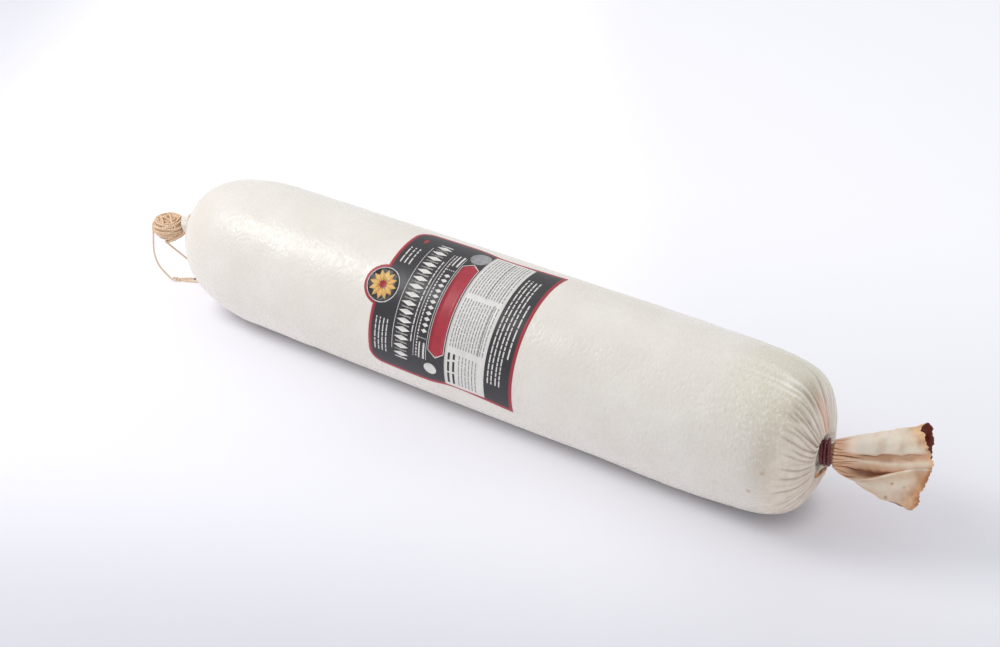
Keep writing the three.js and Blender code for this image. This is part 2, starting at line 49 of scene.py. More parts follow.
# Driving dimensions, the same as the solids'
BODY_RADIUS = 0.053
FLAT_DEPTH = 0.0014
AXIS_HEIGHT = BODY_RADIUS - FLAT_DEPTH
BARREL = 0.012
PLEATS = 28
NECK_RADIUS = 0.0056
GAP = 0.0003
TIE_CORD = 0.0022
TIE_TURNS = 3
TIE_START_RADIUS = 0.0070
TIE_END_RADIUS = 0.0082
TIE_RISES = (0.55, 0.8)
TIE_SHIFT = 0.0004
COIL_GAP = 0.0001
COIL_START = 0.25
TWINE = 0.0016
FAR_TIE_TURNS = 3
FAR_TIE_AT = 0.42
HANK_RADIUS = 0.0125
HANK_HEIGHT = 0.016
HANK_WAIST = 0.001
HANK_TAPER = 0.45
HANK_POWER = 1.6
HANK_RIM = 0.0052
HANK_CLEARANCE = 0.001

# The dark cord's last turns rise a little more than the solid's, and all of it wobbles
TIE_RISE = 0.0009
TIE_WOBBLE = 0.00014
TIE_WOBBLE_SIZE = 0.008

# Places in body radii: along the axis from the near end, across it and up from it
HANK_AT = (-9.93, -0.2, -0.03)
NEAR_TIE_AT = (0.06, -0.115, 0.09)
FAR_NECK_START = (-9.47, 0.0, 0.12)
# Stations of each end: along, radius, and shift of the centre across and up
NEAR_END = [
    (-1.5, 1, 0, 0),
    (-1.0, 0.985, 0, 0),
    (-0.56, 0.95, -0.007, -0.004),
    (-0.31, 0.88, -0.017, -0.008),
    (-0.15, 0.75, -0.035, -0.018),
    (-0.03, 0.55, -0.063, -0.03),
    (0.04, 0.35, -0.09, -0.01),
]
FAR_END = [
    (-7.85, 1, 0, 0),
    (-8.35, 0.985, 0.001, 0.003),
    (-8.83, 0.88, 0.006, 0.021),
    (-9.11, 0.75, 0.013, 0.044),
    (-9.31, 0.55, 0.023, 0.08),
    (-9.44, 0.3, 0.02, 0.12),
]
MIDDLE = (-6.9, -5.9, -4.7, -3.6, -2.6)
NEAR_STEPS = 10
FAR_STEPS = 8
# The first rings of a gathered end's middle turn little by little to the neck's aim
NECK_TURN_RINGS = 3
# Rings that dip into the gathered ends: how far along the neck, in metres at the near end and in
# shares of the neck's length at the far end, and radius
NEAR_DIMPLE = [
    (-0.0020, 0.0112),
    (-0.0042, 0.0088),
    (-0.0052, 0.0067),
    (-0.0034, NECK_RADIUS),
    (0, NECK_RADIUS),
]
FAR_DIMPLE = [
    (-0.16, 0.011),
    (-0.04, 0.0068),
    (0.12, NECK_RADIUS),
    (0.7, NECK_RADIUS),
    (1, 0.007),
]

# The salami's own frame, from the bundle of twine in the solids
hank_low, hank_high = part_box("twine_hank")
HANK_CENTRE = (np.array(hank_low) + np.array(hank_high)) / 2
ORIGIN = HANK_CENTRE - np.array(HANK_AT) * BODY_RADIUS - (0, 0, AXIS_HEIGHT)
X_AXIS = Vector((1, 0, 0))
TO_FRONT = Vector((0, -1, 0))
UPWARD = Vector((0, 0, 1))


def body_point(along, across, up):
    return ORIGIN + np.array([along, across, up]) * BODY_RADIUS + (0, 0, AXIS_HEIGHT)


def unit(vectors):
    vectors = np.asarray(vectors, float)
    return vectors / np.maximum(np.linalg.norm(vectors, axis=-1, keepdims=True), 1e-12)


def smooth_step(low, high, value):
    share = np.clip((value - low) / (high - low), 0, 1)
    return share * share * (3 - 2 * share)


TIE_CENTRE = body_point(*NEAR_TIE_AT)
TAIL_AIM = unit([0.949, 0.311, 0.044])
FAR_NECK_BASE = body_point(*FAR_NECK_START)
FAR_NECK_AIM = unit(HANK_CENTRE - FAR_NECK_BASE)
FAR_NECK_LENGTH = np.linalg.norm(HANK_CENTRE - FAR_NECK_BASE) - HANK_RADIUS - HANK_CLEARANCE


# Curves and meshes

def catmull_rom(points, shares, closed=False):
    """Points of one smooth curve through the given ones, at shares of the way through their list."""
    points = np.asarray(points, float)
    count = len(points)
    if closed:
        spans = count
        padded = np.vstack([points[-1:], points, points[:2]])
    else:
        spans = count - 1
        padded = np.vstack([2 * points[0] - points[1], points, 2 * points[-1] - points[-2]])
    place = np.asarray(shares, float) * spans
    index = np.clip(np.floor(place).astype(int), 0, spans - 1)
    t = (place - index)[:, None]
    a, b, c, d = (padded[index + k] for k in range(4))
    before, between, after = (
        np.sqrt(np.maximum(np.linalg.norm(q - p, axis=1), 1e-9))[:, None]
        for p, q in ((a, b), (b, c), (c, d))
    )
    start = ((b - a) / before - (c - a) / (before + between) + (c - b) / between) * between
    end = ((c - b) / between - (d - b) / (between + after) + (d - c) / after) * between
    return (
        (2 * t**3 - 3 * t**2 + 1) * b
        + (t**3 - 2 * t**2 + t) * start
        + (3 * t**2 - 2 * t**3) * c
        + (t**3 - t**2) * end
    )


def lengths_along(path):
    """How far along a path each of its points is."""
    return np.concatenate([[0], np.cumsum(np.linalg.norm(np.diff(path, axis=0), axis=1))])


def evenly(points, spacing, fine=2000):
    """A smooth curve through the points, as points about spacing apart."""
    line = catmull_rom(points, np.linspace(0, 1, fine))
    along = lengths_along(line)
    places = np.linspace(0, along[-1], max(3, round(along[-1] / spacing) + 1))
    return np.stack([np.interp(places, along, line[:, k]) for k in range(3)], axis=1)


def bell(away, width):
    """A share that is whole at no distance and fades away from there."""
    return np.exp(-((away / width) ** 2))


def circle_turns(count):
    """Angles that are evenly spread round a circle."""
    return np.arange(count) * 2 * math.pi / count


def polar(radius, angle, height):
    """Points round the Z axis."""
    flat = np.broadcast_arrays(radius * np.cos(angle), radius * np.sin(angle), height)
    return np.stack(flat, axis=1)


def waves(points, size, seed, count=40):
    """Smooth noise about one unit high, whose swells are about that size."""
    rng = np.random.default_rng(seed)
    turns = unit(rng.normal(size=(count, 3))) * rng.uniform(0.7, 1.4, (count, 1))
    phases = rng.uniform(0, 2 * math.pi, count)
    return np.cos(points @ (turns.T * 2 * math.pi / size) + phases).sum(-1) / math.sqrt(count)


def ring_faces(rows, around):
    """Faces of a closed skin over rows of rings, with a point after them for the middle of each end."""
    i, j = np.meshgrid(np.arange(rows - 1), np.arange(around), indexing="ij")
    a = (i * around + j).ravel()
    b = (i * around + (j + 1) % around).ravel()
    faces = np.stack([a, b, b + around, a + around], axis=1).tolist()
    start, end = rows * around, rows * around + 1
    last = (rows - 1) * around
    for j in range(around):
        following = (j + 1) % around
        faces.append([start, following, j])
        faces.append([end, last + j, last + following])
    return faces


def add_object(name, data):
    made = bpy.data.objects.new(name, data)
    bpy.context.scene.collection.objects.link(made)
    return made


def mesh_piece(name, points, faces, material, layers=None):
    """A mesh that is part of the salami, with smooth shading and named values on its points."""
    mesh = bpy.data.meshes.new(name)
    mesh.from_pydata(np.asarray(points).tolist(), [], faces)
    for layer, values in (layers or {}).items():
        attribute = mesh.attributes.new(layer, "FLOAT", "POINT")
        attribute.data.foreach_set("value", np.asarray(values, np.float32).ravel())
    mesh.shade_smooth()
    mesh.materials.append(material)
    piece = add_object(name, mesh)
    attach(piece, "root")
    return piece


def ring_piece(name, rings, material, layers=None):
    """One closed piece from rows of rings; a named value on its points is a grid like the rings."""
    rows, around = rings.shape[:2]
    points = np.vstack([rings.reshape(-1, 3), rings[0].mean(0), rings[-1].mean(0)])
    values = {
        layer: np.concatenate([grid.ravel(), [grid[0].mean(), grid[-1].mean()]])
        for layer, grid in (layers or {}).items()
    }
    return mesh_piece(name, points, ring_faces(rows, around), material, values)


def cord_rings(path, radius, sides=16, strands=0, groove=0.0, lay=0.0055):
    """Rings of a cord along a path. Its laid strands show as lobes that turn once in each lay."""
    path = np.asarray(path, float)
    aims = unit(np.gradient(path, axis=0))
    side = unit(np.cross(aims[0], (0.31, 0.52, 0.79)))
    along = lengths_along(path)
    turns = circle_turns(sides)
    rings = []
    for centre, aim, place in zip(path, aims, along):
        side = unit(side - aim * (side @ aim))
        other = np.cross(aim, side)
        lobes = np.abs(np.cos(strands / 2 * turns + math.pi * strands * place / lay))
        reach = radius * (1 - groove * (1 - lobes))[:, None]
        rings.append(centre + reach * (np.cos(turns)[:, None] * side + np.sin(turns)[:, None] * other))
    return np.array(rings)


def joined(ring_lists):
    """Points and faces of several ring bodies together."""
    points, faces = [], []
    for rings in ring_lists:
        rows, around = rings.shape[:2]
        first = len(points)
        points.extend(rings.reshape(-1, 3))
        points.extend([rings[0].mean(0), rings[-1].mean(0)])
        faces.extend([[first + corner for corner in face] for face in ring_faces(rows, around)])
    return np.array(points), faces


# Materials

class Look:
    """A node material, put together by short calls."""

    def __init__(self, name, roughness=0.5, **settings):
        self.material = bpy.data.materials.new(name)
        self.material.use_nodes = True
        self.tree = self.material.node_tree
        self.shader = self.tree.nodes["Principled BSDF"]
        self.shader.inputs["Roughness"].default_value = roughness
        for setting, value in settings.items():
            self.shader.inputs[setting.replace("_", " ")].default_value = value
        self.place = self.node("TexCoord").outputs["Object"]

    def node(self, kind, **settings):
        made = self.tree.nodes.new("ShaderNode" + kind)
        for setting, value in settings.items():
            setattr(made, setting, value)
        return made

    def put(self, value, socket):
        if isinstance(value, bpy.types.NodeSocket):
            self.tree.links.new(value, socket)
        elif isinstance(value, tuple) and len(value) == 3 and socket.type == "RGBA":
            socket.default_value = (*value, 1)
        else:
            socket.default_value = value

    def stretched(self, stretch):
        mapping = self.node("Mapping")
        self.put(self.place, mapping.inputs["Vector"])
        mapping.inputs["Scale"].default_value = stretch
        return mapping.outputs["Vector"]

    def noise(self, size, detail=2.0, stretch=(1, 1, 1), distortion=0.0):
        texture = self.node("TexNoise")
        self.put(self.stretched(stretch), texture.inputs["Vector"])
        texture.inputs["Scale"].default_value = 1 / size
        texture.inputs["Detail"].default_value = detail
        texture.inputs["Distortion"].default_value = distortion
        return texture.outputs["Fac"]

    def cells(self, size, stretch):
        texture = self.node("TexVoronoi")
        self.put(self.stretched(stretch), texture.inputs["Vector"])
        texture.inputs["Scale"].default_value = 1 / size
        return texture.outputs["Distance"]

    def value(self, name):
        return self.node("Attribute", attribute_name=name).outputs["Fac"]

    def share(self, name, most):
        return self.times(self.value(name), most)

    def step(self, value, low, high, start=0.0, end=1.0):
        made = self.node("MapRange", interpolation_type="SMOOTHSTEP")
        for socket, number in zip(made.inputs, (value, low, high, start, end)):
            self.put(number, socket)
        return made.outputs["Result"]

    def maths(self, operation, first, second=0.0):
        made = self.node("Math", operation=operation)
        self.put(first, made.inputs[0])
        self.put(second, made.inputs[1])
        return made.outputs["Value"]

    def times(self, first, second):
        return self.maths("MULTIPLY", first, second)

    def mix(self, first, second, share):
        made = self.node("Mix", data_type="RGBA")
        self.put(share, made.inputs[0])
        colours = [socket for socket in made.inputs if socket.type == "RGBA"]
        for colour, socket in zip((first, second), colours):
            self.put(colour, socket)
        return next(socket for socket in made.outputs if socket.type == "RGBA")

    def coats(self, base, coats):
        """Colours laid over a base one after another, each by its share."""
        for colour, share in coats:
            base = self.mix(base, colour, share)
        return base

    def colour(self, value):
        self.put(value, self.shader.inputs["Base Color"])

    def roughness(self, value):
        self.put(value, self.shader.inputs["Roughness"])

    def bump(self, height, distance, under=None):
        made = self.node("Bump")
        made.inputs["Distance"].default_value = distance
        self.put(height, made.inputs["Height"])
        if under is not None:
            self.put(under, made.inputs["Normal"])
        return made.outputs["Normal"]

    def normal(self, value):
        self.put(value, self.shader.inputs["Normal"])


def casing_look():
    look = Look("white_casing", 0.4, Specular_IOR_Level=0.5)
    patches = look.step(look.noise(0.035, 3), 0.35, 0.7)
    mottle = look.step(look.noise(0.006, 3), 0.3, 0.75)
    grain = look.noise(0.0012, 1, (1, 0.45, 0.45))
    ticks = look.value("ticks")
    # painted glints, and painted shade of small dents, where the tick zone is
    glints = look.times(look.step(grain, 0.56, 0.68), ticks)
    dent_shade = look.times(look.step(grain, 0.42, 0.30), ticks)
    base = look.mix((0.81, 0.765, 0.69), (0.85, 0.81, 0.75), patches)
    look.colour(look.coats(base, [
        ((0.78, 0.73, 0.65), look.times(mottle, 0.3)),
        (look.mix((0.78, 0.67, 0.54), (0.88, 0.79, 0.68), mottle), look.share("gathered", 0.9)),
        # the near shoulder's rim darker: painted shade of the rim, and a darker tone of the skin there
        ((0.44, 0.38, 0.28), look.share("rim_tone_and_shade", 0.45)),
        ((0.66, 0.63, 0.45), look.share("olive", 0.5)),
        # painted highlight streaks on the shoulder, painted light on the far neck, and pale places
        ((0.95, 0.92, 0.85), look.share("pale_and_painted_light", 0.85)),
        ((0.82, 0.45, 0.31), look.share("stain", 0.8)),
        # painted shade: dark lines along the creases' valleys
        ((0.30, 0.22, 0.15), look.share("crease", 0.62)),
        # painted glints, then painted shade of small dents
        ((0.95, 0.93, 0.88), look.times(glints, 0.42)),
        ((0.50, 0.46, 0.37), look.times(dent_shade, 0.28)),
        ((0.45, 0.20, 0.07), look.value("dots")),
    ]))
    look.roughness(look.step(look.noise(0.004, 2), 0.3, 0.7, 0.24, 0.40))
    pits = look.cells(0.0026, (1.0, 0.75, 0.75))
    relief = look.bump(look.noise(0.0026, 2), 0.00020)
    relief = look.bump(look.step(pits, 0.1, 0.6), 0.00010, relief)
    relief = look.bump(look.times(grain, ticks), 0.00022, relief)
    look.normal(relief)
    return look.material


def tail_look():
    look = Look("dry_casing", 0.42, Specular_IOR_Level=0.5, Subsurface_Weight=0.35,
                Subsurface_Radius=(1.0, 0.55, 0.3), Subsurface_Scale=0.0015)
    patches = look.step(look.noise(0.014, 3, distortion=0.4), 0.35, 0.7)
    edge = look.mix((0.40, 0.17, 0.06), (0.86, 0.50, 0.26), look.step(look.noise(0.008, 2), 0.35, 0.65))
    base = look.mix((0.75, 0.47, 0.30), (0.66, 0.37, 0.22), patches)
    # how much of the painted light each place gets, at random
    uneven_light = look.step(look.noise(0.011, 3, distortion=0.6), 0.42, 0.72, 0.9, 0.55)
    look.colour(look.coats(base, [
        # painted light on the tail's lit top, crests, flap and back
        ((0.93, 0.78, 0.64), look.times(look.value("painted_light"), uneven_light)),
        # painted shade in the tail's fanned lines, first crease and deep fold
        ((0.24, 0.085, 0.035), look.share("fold", 0.95)),
        (edge, look.share("brown", 0.9)),
        # the inside painted dark: its own browner side, and painted shade inside the tube
        ((0.12, 0.014, 0.002), look.value("inside")),
        ((0.22, 0.08, 0.03), look.value("dots")),
    ]))
    look.normal(look.bump(look.noise(0.0025, 3), 0.0003))
    return look.material


def scrap_look():
    look = Look("dry_scrap", 0.5)
    browns = look.step(look.noise(0.003, 2), 0.35, 0.6)
    look.colour(look.mix((0.10, 0.035, 0.012), (0.60, 0.26, 0.09), browns))
    look.normal(look.bump(look.noise(0.0012, 3), 0.0002))
    return look.material


def tie_look():
    look = Look("maroon_cord", 0.24, Specular_IOR_Level=0.5)
    strands = look.noise(0.0014, 2, (1, 3, 3))
    look.colour(look.mix((0.07, 0.008, 0.013), (0.20, 0.032, 0.042), look.step(strands, 0.35, 0.7)))
    look.normal(look.bump(strands, 0.0002))
    return look.material


def twine_look(name, light, dark):
    look = Look(name, 0.75, Sheen_Weight=0.15)
    fibres = look.noise(0.0009, 3)
    patches = look.noise(0.005, 2)
    look.colour(look.coats(dark, [
        (light, look.step(fibres, 0.3, 0.6)),
        (light, look.step(patches, 0.4, 0.7, 0.0, 0.6)),
        ((0.52, 0.24, 0.07), look.value("spot")),
        ((0.16, 0.09, 0.05), look.value("tip")),
    ]))
    look.normal(look.bump(fibres, 0.0002))
    return look.material


def ink_look(name, colour, other):
    look = Look(name, 0.38)
    look.colour(look.mix(colour, other, look.step(look.noise(0.004, 3), 0.35, 0.7)))
    look.normal(look.bump(look.noise(0.003, 2), 0.00006))
    return look.material


def label_look():
    look = Look("label_stock", 0.36)
    field = look.mix((0.024, 0.023, 0.027), (0.034, 0.032, 0.036), look.noise(0.01, 3))
    edge = look.value("from_edge")
    band = look.mix((0.36, 0.025, 0.04), field, look.step(edge, 0.0013, 0.0030))
    base = look.mix((0.44, 0.028, 0.05), band, look.step(edge, 0.0012, 0.00135))
    look.colour(base)
    look.normal(look.bump(look.noise(0.004, 2), 0.00010))
    return look.material


# The camera, which looks down at the salami from its front

PHOTO_WIDTH = 1000
FOCAL_PIXELS = 1584
SENSOR = 36
CAMERA_AT = (0.2560, -0.7480, 0.6384)
CAMERA_DOWN = 32.83
CAMERA_ROUND = 33.26


def make_camera():
    data = bpy.data.cameras.new("camera")
    data.sensor_width = SENSOR
    data.lens = SENSOR * FOCAL_PIXELS / PHOTO_WIDTH
    camera = add_object("camera", data)
    camera.location = ORIGIN + np.array(CAMERA_AT)
    camera.rotation_euler = (math.radians(90 - CAMERA_DOWN), 0, math.radians(CAMERA_ROUND))
    bpy.context.scene.camera = camera


make_camera()

# The hanging loop: two strands that come down from the bundle to a knot on the table.
# Points are along, across and up in metres from the foot of the bundle's middle.
FRONT_STRAND = [
    (-0.01285, -0.0046, 0.0510),
    (-0.01305, -0.0048, 0.0465),
    (-0.0134, -0.0050, 0.0410),
    (-0.0142, -0.0052, 0.0350),
    (-0.0148, -0.0052, 0.0270),
    (-0.0146, -0.0037, 0.0175),
    (-0.0132, -0.0015, 0.0104),
    (-0.0106, 0.0009, 0.0048),
    (-0.0083, 0.0019, 0.0018),
    (-0.0064, 0.0024, 0.00095),
]
BACK_STRAND = [
    (0.0026, -0.0069, 0.0409),
    (0.0050, -0.0056, 0.0382),
    (0.0090, -0.0035, 0.0340),
    (0.0145, 0.0002, 0.0270),
    (0.0195, 0.0036, 0.0195),
    (0.0230, 0.0068, 0.0110),
    (0.0234, 0.0098, 0.0045),
    (0.0204, 0.0121, 0.0012),
    (0.0155, 0.0116, 0.00085),
    (0.0080, 0.0086, 0.00085),
    (0.0024, 0.0062, 0.0009),
    (-0.0014, 0.0046, 0.00095),
]
CUT_END = [
    (-0.0039, 0.0034, 0.0010),
    (-0.0016, 0.0066, 0.00085),
    (0.0026, 0.0100, 0.00085),
    (0.0080, 0.0129, 0.00085),
]
KNOT_TURNS = 2.2
KNOT_RADIUS = 0.0011
TWINE_STRANDS = 3
TWINE_GROOVE = 0.28
CORD_STEP = 0.0005


def strand_path(points):
    foot = np.array([HANK_CENTRE[0], HANK_CENTRE[1], 0])
    return evenly(np.array(points) + foot, CORD_STEP)


def twine_rings(path, sides=18):
    return cord_rings(path, TWINE / 2, sides, TWINE_STRANDS, TWINE_GROOVE)


def make_loop(material):
    front_path = strand_path(FRONT_STRAND)
    back_path = strand_path(BACK_STRAND)
    knot = make_knot(front_path[-1], back_path[-1], material)
    front = ring_piece("hanging_strand_front", twine_rings(front_path), material)
    back = ring_piece("hanging_strand_back", twine_rings(back_path), material)
    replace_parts(front, "loop_front")
    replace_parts(back, "loop_back")


def make_knot(start, end, material):
    """The knot on the table: turns of the twine round the two strands' ends, and one cut end."""
    aim = unit(end - start)
    middle = (start + end) / 2
    side = unit(np.cross(aim, (0, 0, 1)))
    shares = np.linspace(0, 1, 60)[:, None]
    angle = 2 * math.pi * KNOT_TURNS * shares
    turns = middle + aim * (shares - 0.5) * np.linalg.norm(end - start) * 0.9
    turns = turns + KNOT_RADIUS * (np.cos(angle) * side + np.sin(angle) * np.array([0, 0, 0.8]))
    turns[:, 2] = np.maximum(turns[:, 2] + KNOT_RADIUS * 0.5, TWINE / 2)
    cut_end = strand_path(CUT_END)
    points, faces = joined([twine_rings(turns), twine_rings(cut_end)])
    to_tip = np.linalg.norm(points - cut_end[-1], axis=1)
    layers = {"tip": 1 - smooth_step(0.001, 0.0024, to_tip)}
    knot = mesh_piece("hanging_loop_knot", points, faces, material, layers)
    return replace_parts(knot, "loop_knot")


tan_twine = twine_look("tan_twine", (0.86, 0.64, 0.44), (0.60, 0.38, 0.23))
pale_twine = twine_look("pale_twine", (0.88, 0.70, 0.52), (0.66, 0.46, 0.30))
make_loop(pale_twine)


# The casing

AROUND = 432
AIM_WEIGHT = 0.005
CREASES = 2 * PLEATS
SHORT_CREASES = 26
CREASE_DEPTH = 0.0009
# The far end's creases start lower on its shoulder by this share of the radius
FAR_CREASES_LOWER = 0.2
# Where the near half starts, in body radii along the body like the places below
NEAR_HALF_FROM = -4.7
# How far apart the skin's rings are at places along the body
SPACING_AT = (-9.6, -8.4, -7.6, -6.0, -5.6, -3.8, -3.4, -2.2, -1.2, 0.1)
SPACING = (0.0016, 0.0023, 0.0046, 0.0050, 0.0110, 0.0110, 0.0046, 0.0032, 0.0015, 0.00095)
# The label's two ends
LABEL_TOP = -5.767
LABEL_BOTTOM = -3.61


def barrel_radius(along):
    middle = (NEAR_END[0][0] + FAR_END[0][0]) / 2
    half = (NEAR_END[0][0] - FAR_END[0][0]) / 2
    share = np.minimum(1, np.abs(along - middle) / half)
    return BODY_RADIUS * (1 - BARREL * share * share)


def ring_row(centre, aim, radius):
    return [*centre, *(np.asarray(aim) * AIM_WEIGHT), radius]


def end_rows(stations, steps):
    shares = np.linspace(0, 1, steps + 1)
    profile = catmull_rom([(along, radius, 0) for along, radius, _, _ in stations], shares)
    shift = catmull_rom([(0, across, up) for _, _, across, up in stations], shares)
    return [
        ring_row(body_point(along, across, up), X_AXIS, radius * barrel_radius(along))
        for (along, radius, _), (_, across, up) in zip(profile, shift)
    ]


def neck_rows(stations, base, aim, scale):
    toward = aim if aim[0] > 0 else -aim
    rows = []
    for i, (along, radius) in enumerate(stations):
        turned = min(1, (i + 1) / NECK_TURN_RINGS)
        ring_aim = unit(np.array(X_AXIS) * (1 - turned) + toward * turned)
        rows.append(ring_row(base + aim * along * scale, ring_aim, radius))
    return rows


def skin_rows():
    """The casing's rings from the far neck to the near one: centre, aim and radius of each."""
    coarse = [
        *neck_rows(FAR_DIMPLE, FAR_NECK_BASE, FAR_NECK_AIM, FAR_NECK_LENGTH)[::-1],
        *end_rows(FAR_END, FAR_STEPS)[::-1],
        *(ring_row(body_point(along, 0, 0), X_AXIS, barrel_radius(along)) for along in MIDDLE),
        *end_rows(NEAR_END, NEAR_STEPS),
        *neck_rows(NEAR_DIMPLE, TIE_CENTRE, TAIL_AIM, 1),
    ]
    dense = catmull_rom(coarse, np.linspace(0, 1, 6000))
    steps = np.linalg.norm(np.diff(dense[:, [0, 1, 2, 6]], axis=0), axis=1)
    along = (dense[1:, 0] - ORIGIN[0]) / BODY_RADIUS
    count = np.concatenate([[0], np.cumsum(steps / np.interp(along, SPACING_AT, SPACING))])
    places = np.linspace(0, count[-1], int(count[-1]) + 1)
    return np.stack([np.interp(places, count, column) for column in dense.T], axis=1)


def skin_grid(rows, turns):
    """Points of the plain skin, without its creases, at each ring and turn."""
    grid = np.empty((len(rows), len(turns), 3))
    for i, row in enumerate(rows):
        turned = X_AXIS.rotation_difference(Vector(row[3:6]))
        front = np.array(turned @ TO_FRONT)
        up = np.array(turned @ UPWARD)
        outward = np.cos(turns)[:, None] * front + np.sin(turns)[:, None] * up
        grid[i] = row[:3] + row[6] * outward
    return grid


def grid_normals(grid):
    along = np.gradient(grid, axis=0)
    round_it = np.roll(grid, -1, axis=1) - np.roll(grid, 1, axis=1)
    return unit(np.cross(along, round_it))


def crease_plan(seed, lower):
    """The creases that run to a tied end, as one array for each thing about them. Their starts and
    stops are shares of the body's radius, and the starts are lower on the shoulder by a share."""
    rng = np.random.default_rng(seed)
    k = np.arange(CREASES)
    main = k % 2 == 0
    even = 2 * math.pi * k / CREASES
    angle = even + 0.05 * np.sin(3 * even + 1) + 0.035 * np.sin(7 * even + 2.1)
    angle = angle + np.where(main, 0, rng.uniform(-0.035, 0.035, CREASES))
    depth = np.where(main, rng.uniform(0.7, 1.2, CREASES), rng.uniform(0.35, 1.0, CREASES))
    start = np.where(main, rng.uniform(0.80, 0.95, CREASES), rng.uniform(0.6, 0.93, CREASES))
    # short ones, close together, high on the shoulder
    angle = np.concatenate([angle, rng.uniform(0.95, 1.9, SHORT_CREASES)])
    depth = np.concatenate([depth, rng.uniform(0.4, 0.9, SHORT_CREASES)])
    start = np.concatenate([start, rng.uniform(0.90, 0.97, SHORT_CREASES)]) - lower
    stop = np.concatenate([np.zeros(CREASES), rng.uniform(0.62, 0.85, SHORT_CREASES)])
    count = CREASES + SHORT_CREASES
    sway = rng.uniform(0.008, 0.03, count)
    phase = rng.uniform(0, 2 * math.pi, count)
    rate = rng.uniform(4, 9, count)
    return angle, depth, start, stop, sway, phase, rate


def crease_lines(turns, radii, seed, lower=0):
    """How far the creases sink the skin in rings of these radii, and how much painted shade they draw
    along their valleys.
    """
    angle, depth, start, stop, sway, phase, rate = crease_plan(seed, lower)
    share = (radii / BODY_RADIUS)[:, None, None]
    radius = radii[:, None, None]
    crowd = 2 * math.pi * radius / CREASES
    off = turns[None, :, None] - angle - sway * np.sin(rate * share + phase)
    off = np.abs((off + math.pi) % (2 * math.pi) - math.pi) * radius
    thin = np.exp(-((off / np.minimum(0.0006, 0.24 * crowd)) ** 1.4))
    broad = bell(off, 0.42 * crowd)
    fade = (1 - smooth_step(start - 0.14, start, share)) * smooth_step(stop - 0.08, stop, share)
    most = np.minimum(CREASE_DEPTH * (1.5 - share), 0.45 * crowd)
    sink = depth * fade * most * (0.7 * thin + 0.4 * broad)
    return sink.sum(-1), np.clip((depth * fade * thin).sum(-1), 0, 1)


def skin_swell(grid, turn, along):
    """The unevenness of the filled skin in millimetres, more of it to the sides of the label."""
    right = smooth_step(LABEL_BOTTOM + 0.1, LABEL_BOTTOM + 0.7, along)
    left = smooth_step(-LABEL_TOP + 0.1, -LABEL_TOP + 0.7, -along)
    x = (grid[..., 0] - ORIGIN[0]) / MM
    swell = 0.3 * right * (np.sin(2 * turn + x / 31) + np.sin(5 * turn - x / 19 + 1.7))
    swell = swell + 0.12 * (right + left) * waves(grid, 0.022, 5)
    return swell + 0.05 * (right + left) * waves(grid, 0.008, 6)


def skin_values(grid, turn, share, along, near, lines):
    """What the casing's material reads at each point of the skin."""
    # painted light: the far neck made paler where it lies in shade
    far_neck = ~near * (1 - smooth_step(0.15, 0.4, share))
    return {
        "gathered": gathered_zone(turn, share) * np.where(near, 1, 0.15),
        # painted shade along the creases' valleys, weaker at the far end
        "crease": lines * np.where(near, 1, 0.4),
        # painted shade at the near shoulder's rim, with a darker skin tone there
        "rim_tone_and_shade": near * bell(share - 0.90, 0.045) * beside(turn, 0.45, 0.6),
        "olive": olive_zone(turn, share, along),
        # painted highlight streaks, painted light on the far neck, and the pale places
        "pale_and_painted_light": painted_sheen_zone(turn, share, near) + far_neck + near_spots(grid, PALE_PATCHES),
        "stain": stain_zone(turn, share, near),
        "dots": near_spots(grid, SKIN_DOTS),
        "ticks": tick_zone(turn, share, along),
    }


def make_casing():
    turns = circle_turns(AROUND)
    rows = skin_rows()
    grid = skin_grid(rows, turns)
    along = (grid[..., 0] - ORIGIN[0]) / BODY_RADIUS
    radii = rows[:, 6]
    share = np.repeat((radii / BODY_RADIUS)[:, None], AROUND, axis=1)
    turn = np.repeat(turns[None], len(rows), axis=0)
    near = (rows[:, 0] > body_point(NEAR_HALF_FROM, 0, 0)[0])[:, None]
    near_creases = crease_lines(turns, radii, 3)
    far_creases = crease_lines(turns, radii, 11, FAR_CREASES_LOWER)
    sink, lines = (np.where(near, *pair) for pair in zip(near_creases, far_creases))
    swell = skin_swell(grid, turn, along) * MM * smooth_step(0.3, 0.6, share)
    points = grid + grid_normals(grid) * (swell - sink)[..., None]
    points[..., 2] = np.maximum(points[..., 2], 0)
    layers = skin_values(grid, turn, share, along, near, lines)
    skin = ring_piece("casing_skin", points, casing_look(), layers)
    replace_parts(skin, "casing")


def beside(turn, middle, reach):
    """A share that is whole at one place round the body and fades away from it."""
    return bell((turn - middle + math.pi) % (2 * math.pi) - math.pi, reach)


def gathered_zone(turn, share):
    """The tinted skin of an end face, paler on its far side."""
    return (1 - smooth_step(0.84, 0.96, share)) * (1 - 0.7 * beside(turn, 2.2, 0.9))


def tick_zone(turn, share, along):
    """Where the small painted glints and the painted shade of small dents go, most of them on the upper
    part of the near shoulder.
    """
    shoulder = beside(turn, 1.0, 0.7) * smooth_step(-1.5, -0.6, along)
    return smooth_step(-3.4, -1.2, along) * smooth_step(0.6, 0.9, share) * (0.3 + 0.7 * shoulder)


def olive_zone(turn, share, along):
    """The greenish band round the upper part of the near shoulder."""
    high = smooth_step(0.3, 1.2, turn) * (1 - smooth_step(2.0, 2.9, turn))
    return high * smooth_step(-1.3, -0.6, along) * smooth_step(0.6, 0.85, share)


def painted_sheen_zone(turn, share, near):
    """Painted highlight: pale glossy streaks between the short creases of the shoulder."""
    streaks = smooth_step(0.45, 0.8, 0.5 + 0.5 * np.sin(47 * turn + 2 * np.sin(13 * turn + 9 * share)))
    return near * beside(turn, 1.38, 0.2) * streaks * bell(share - 0.89, 0.06)


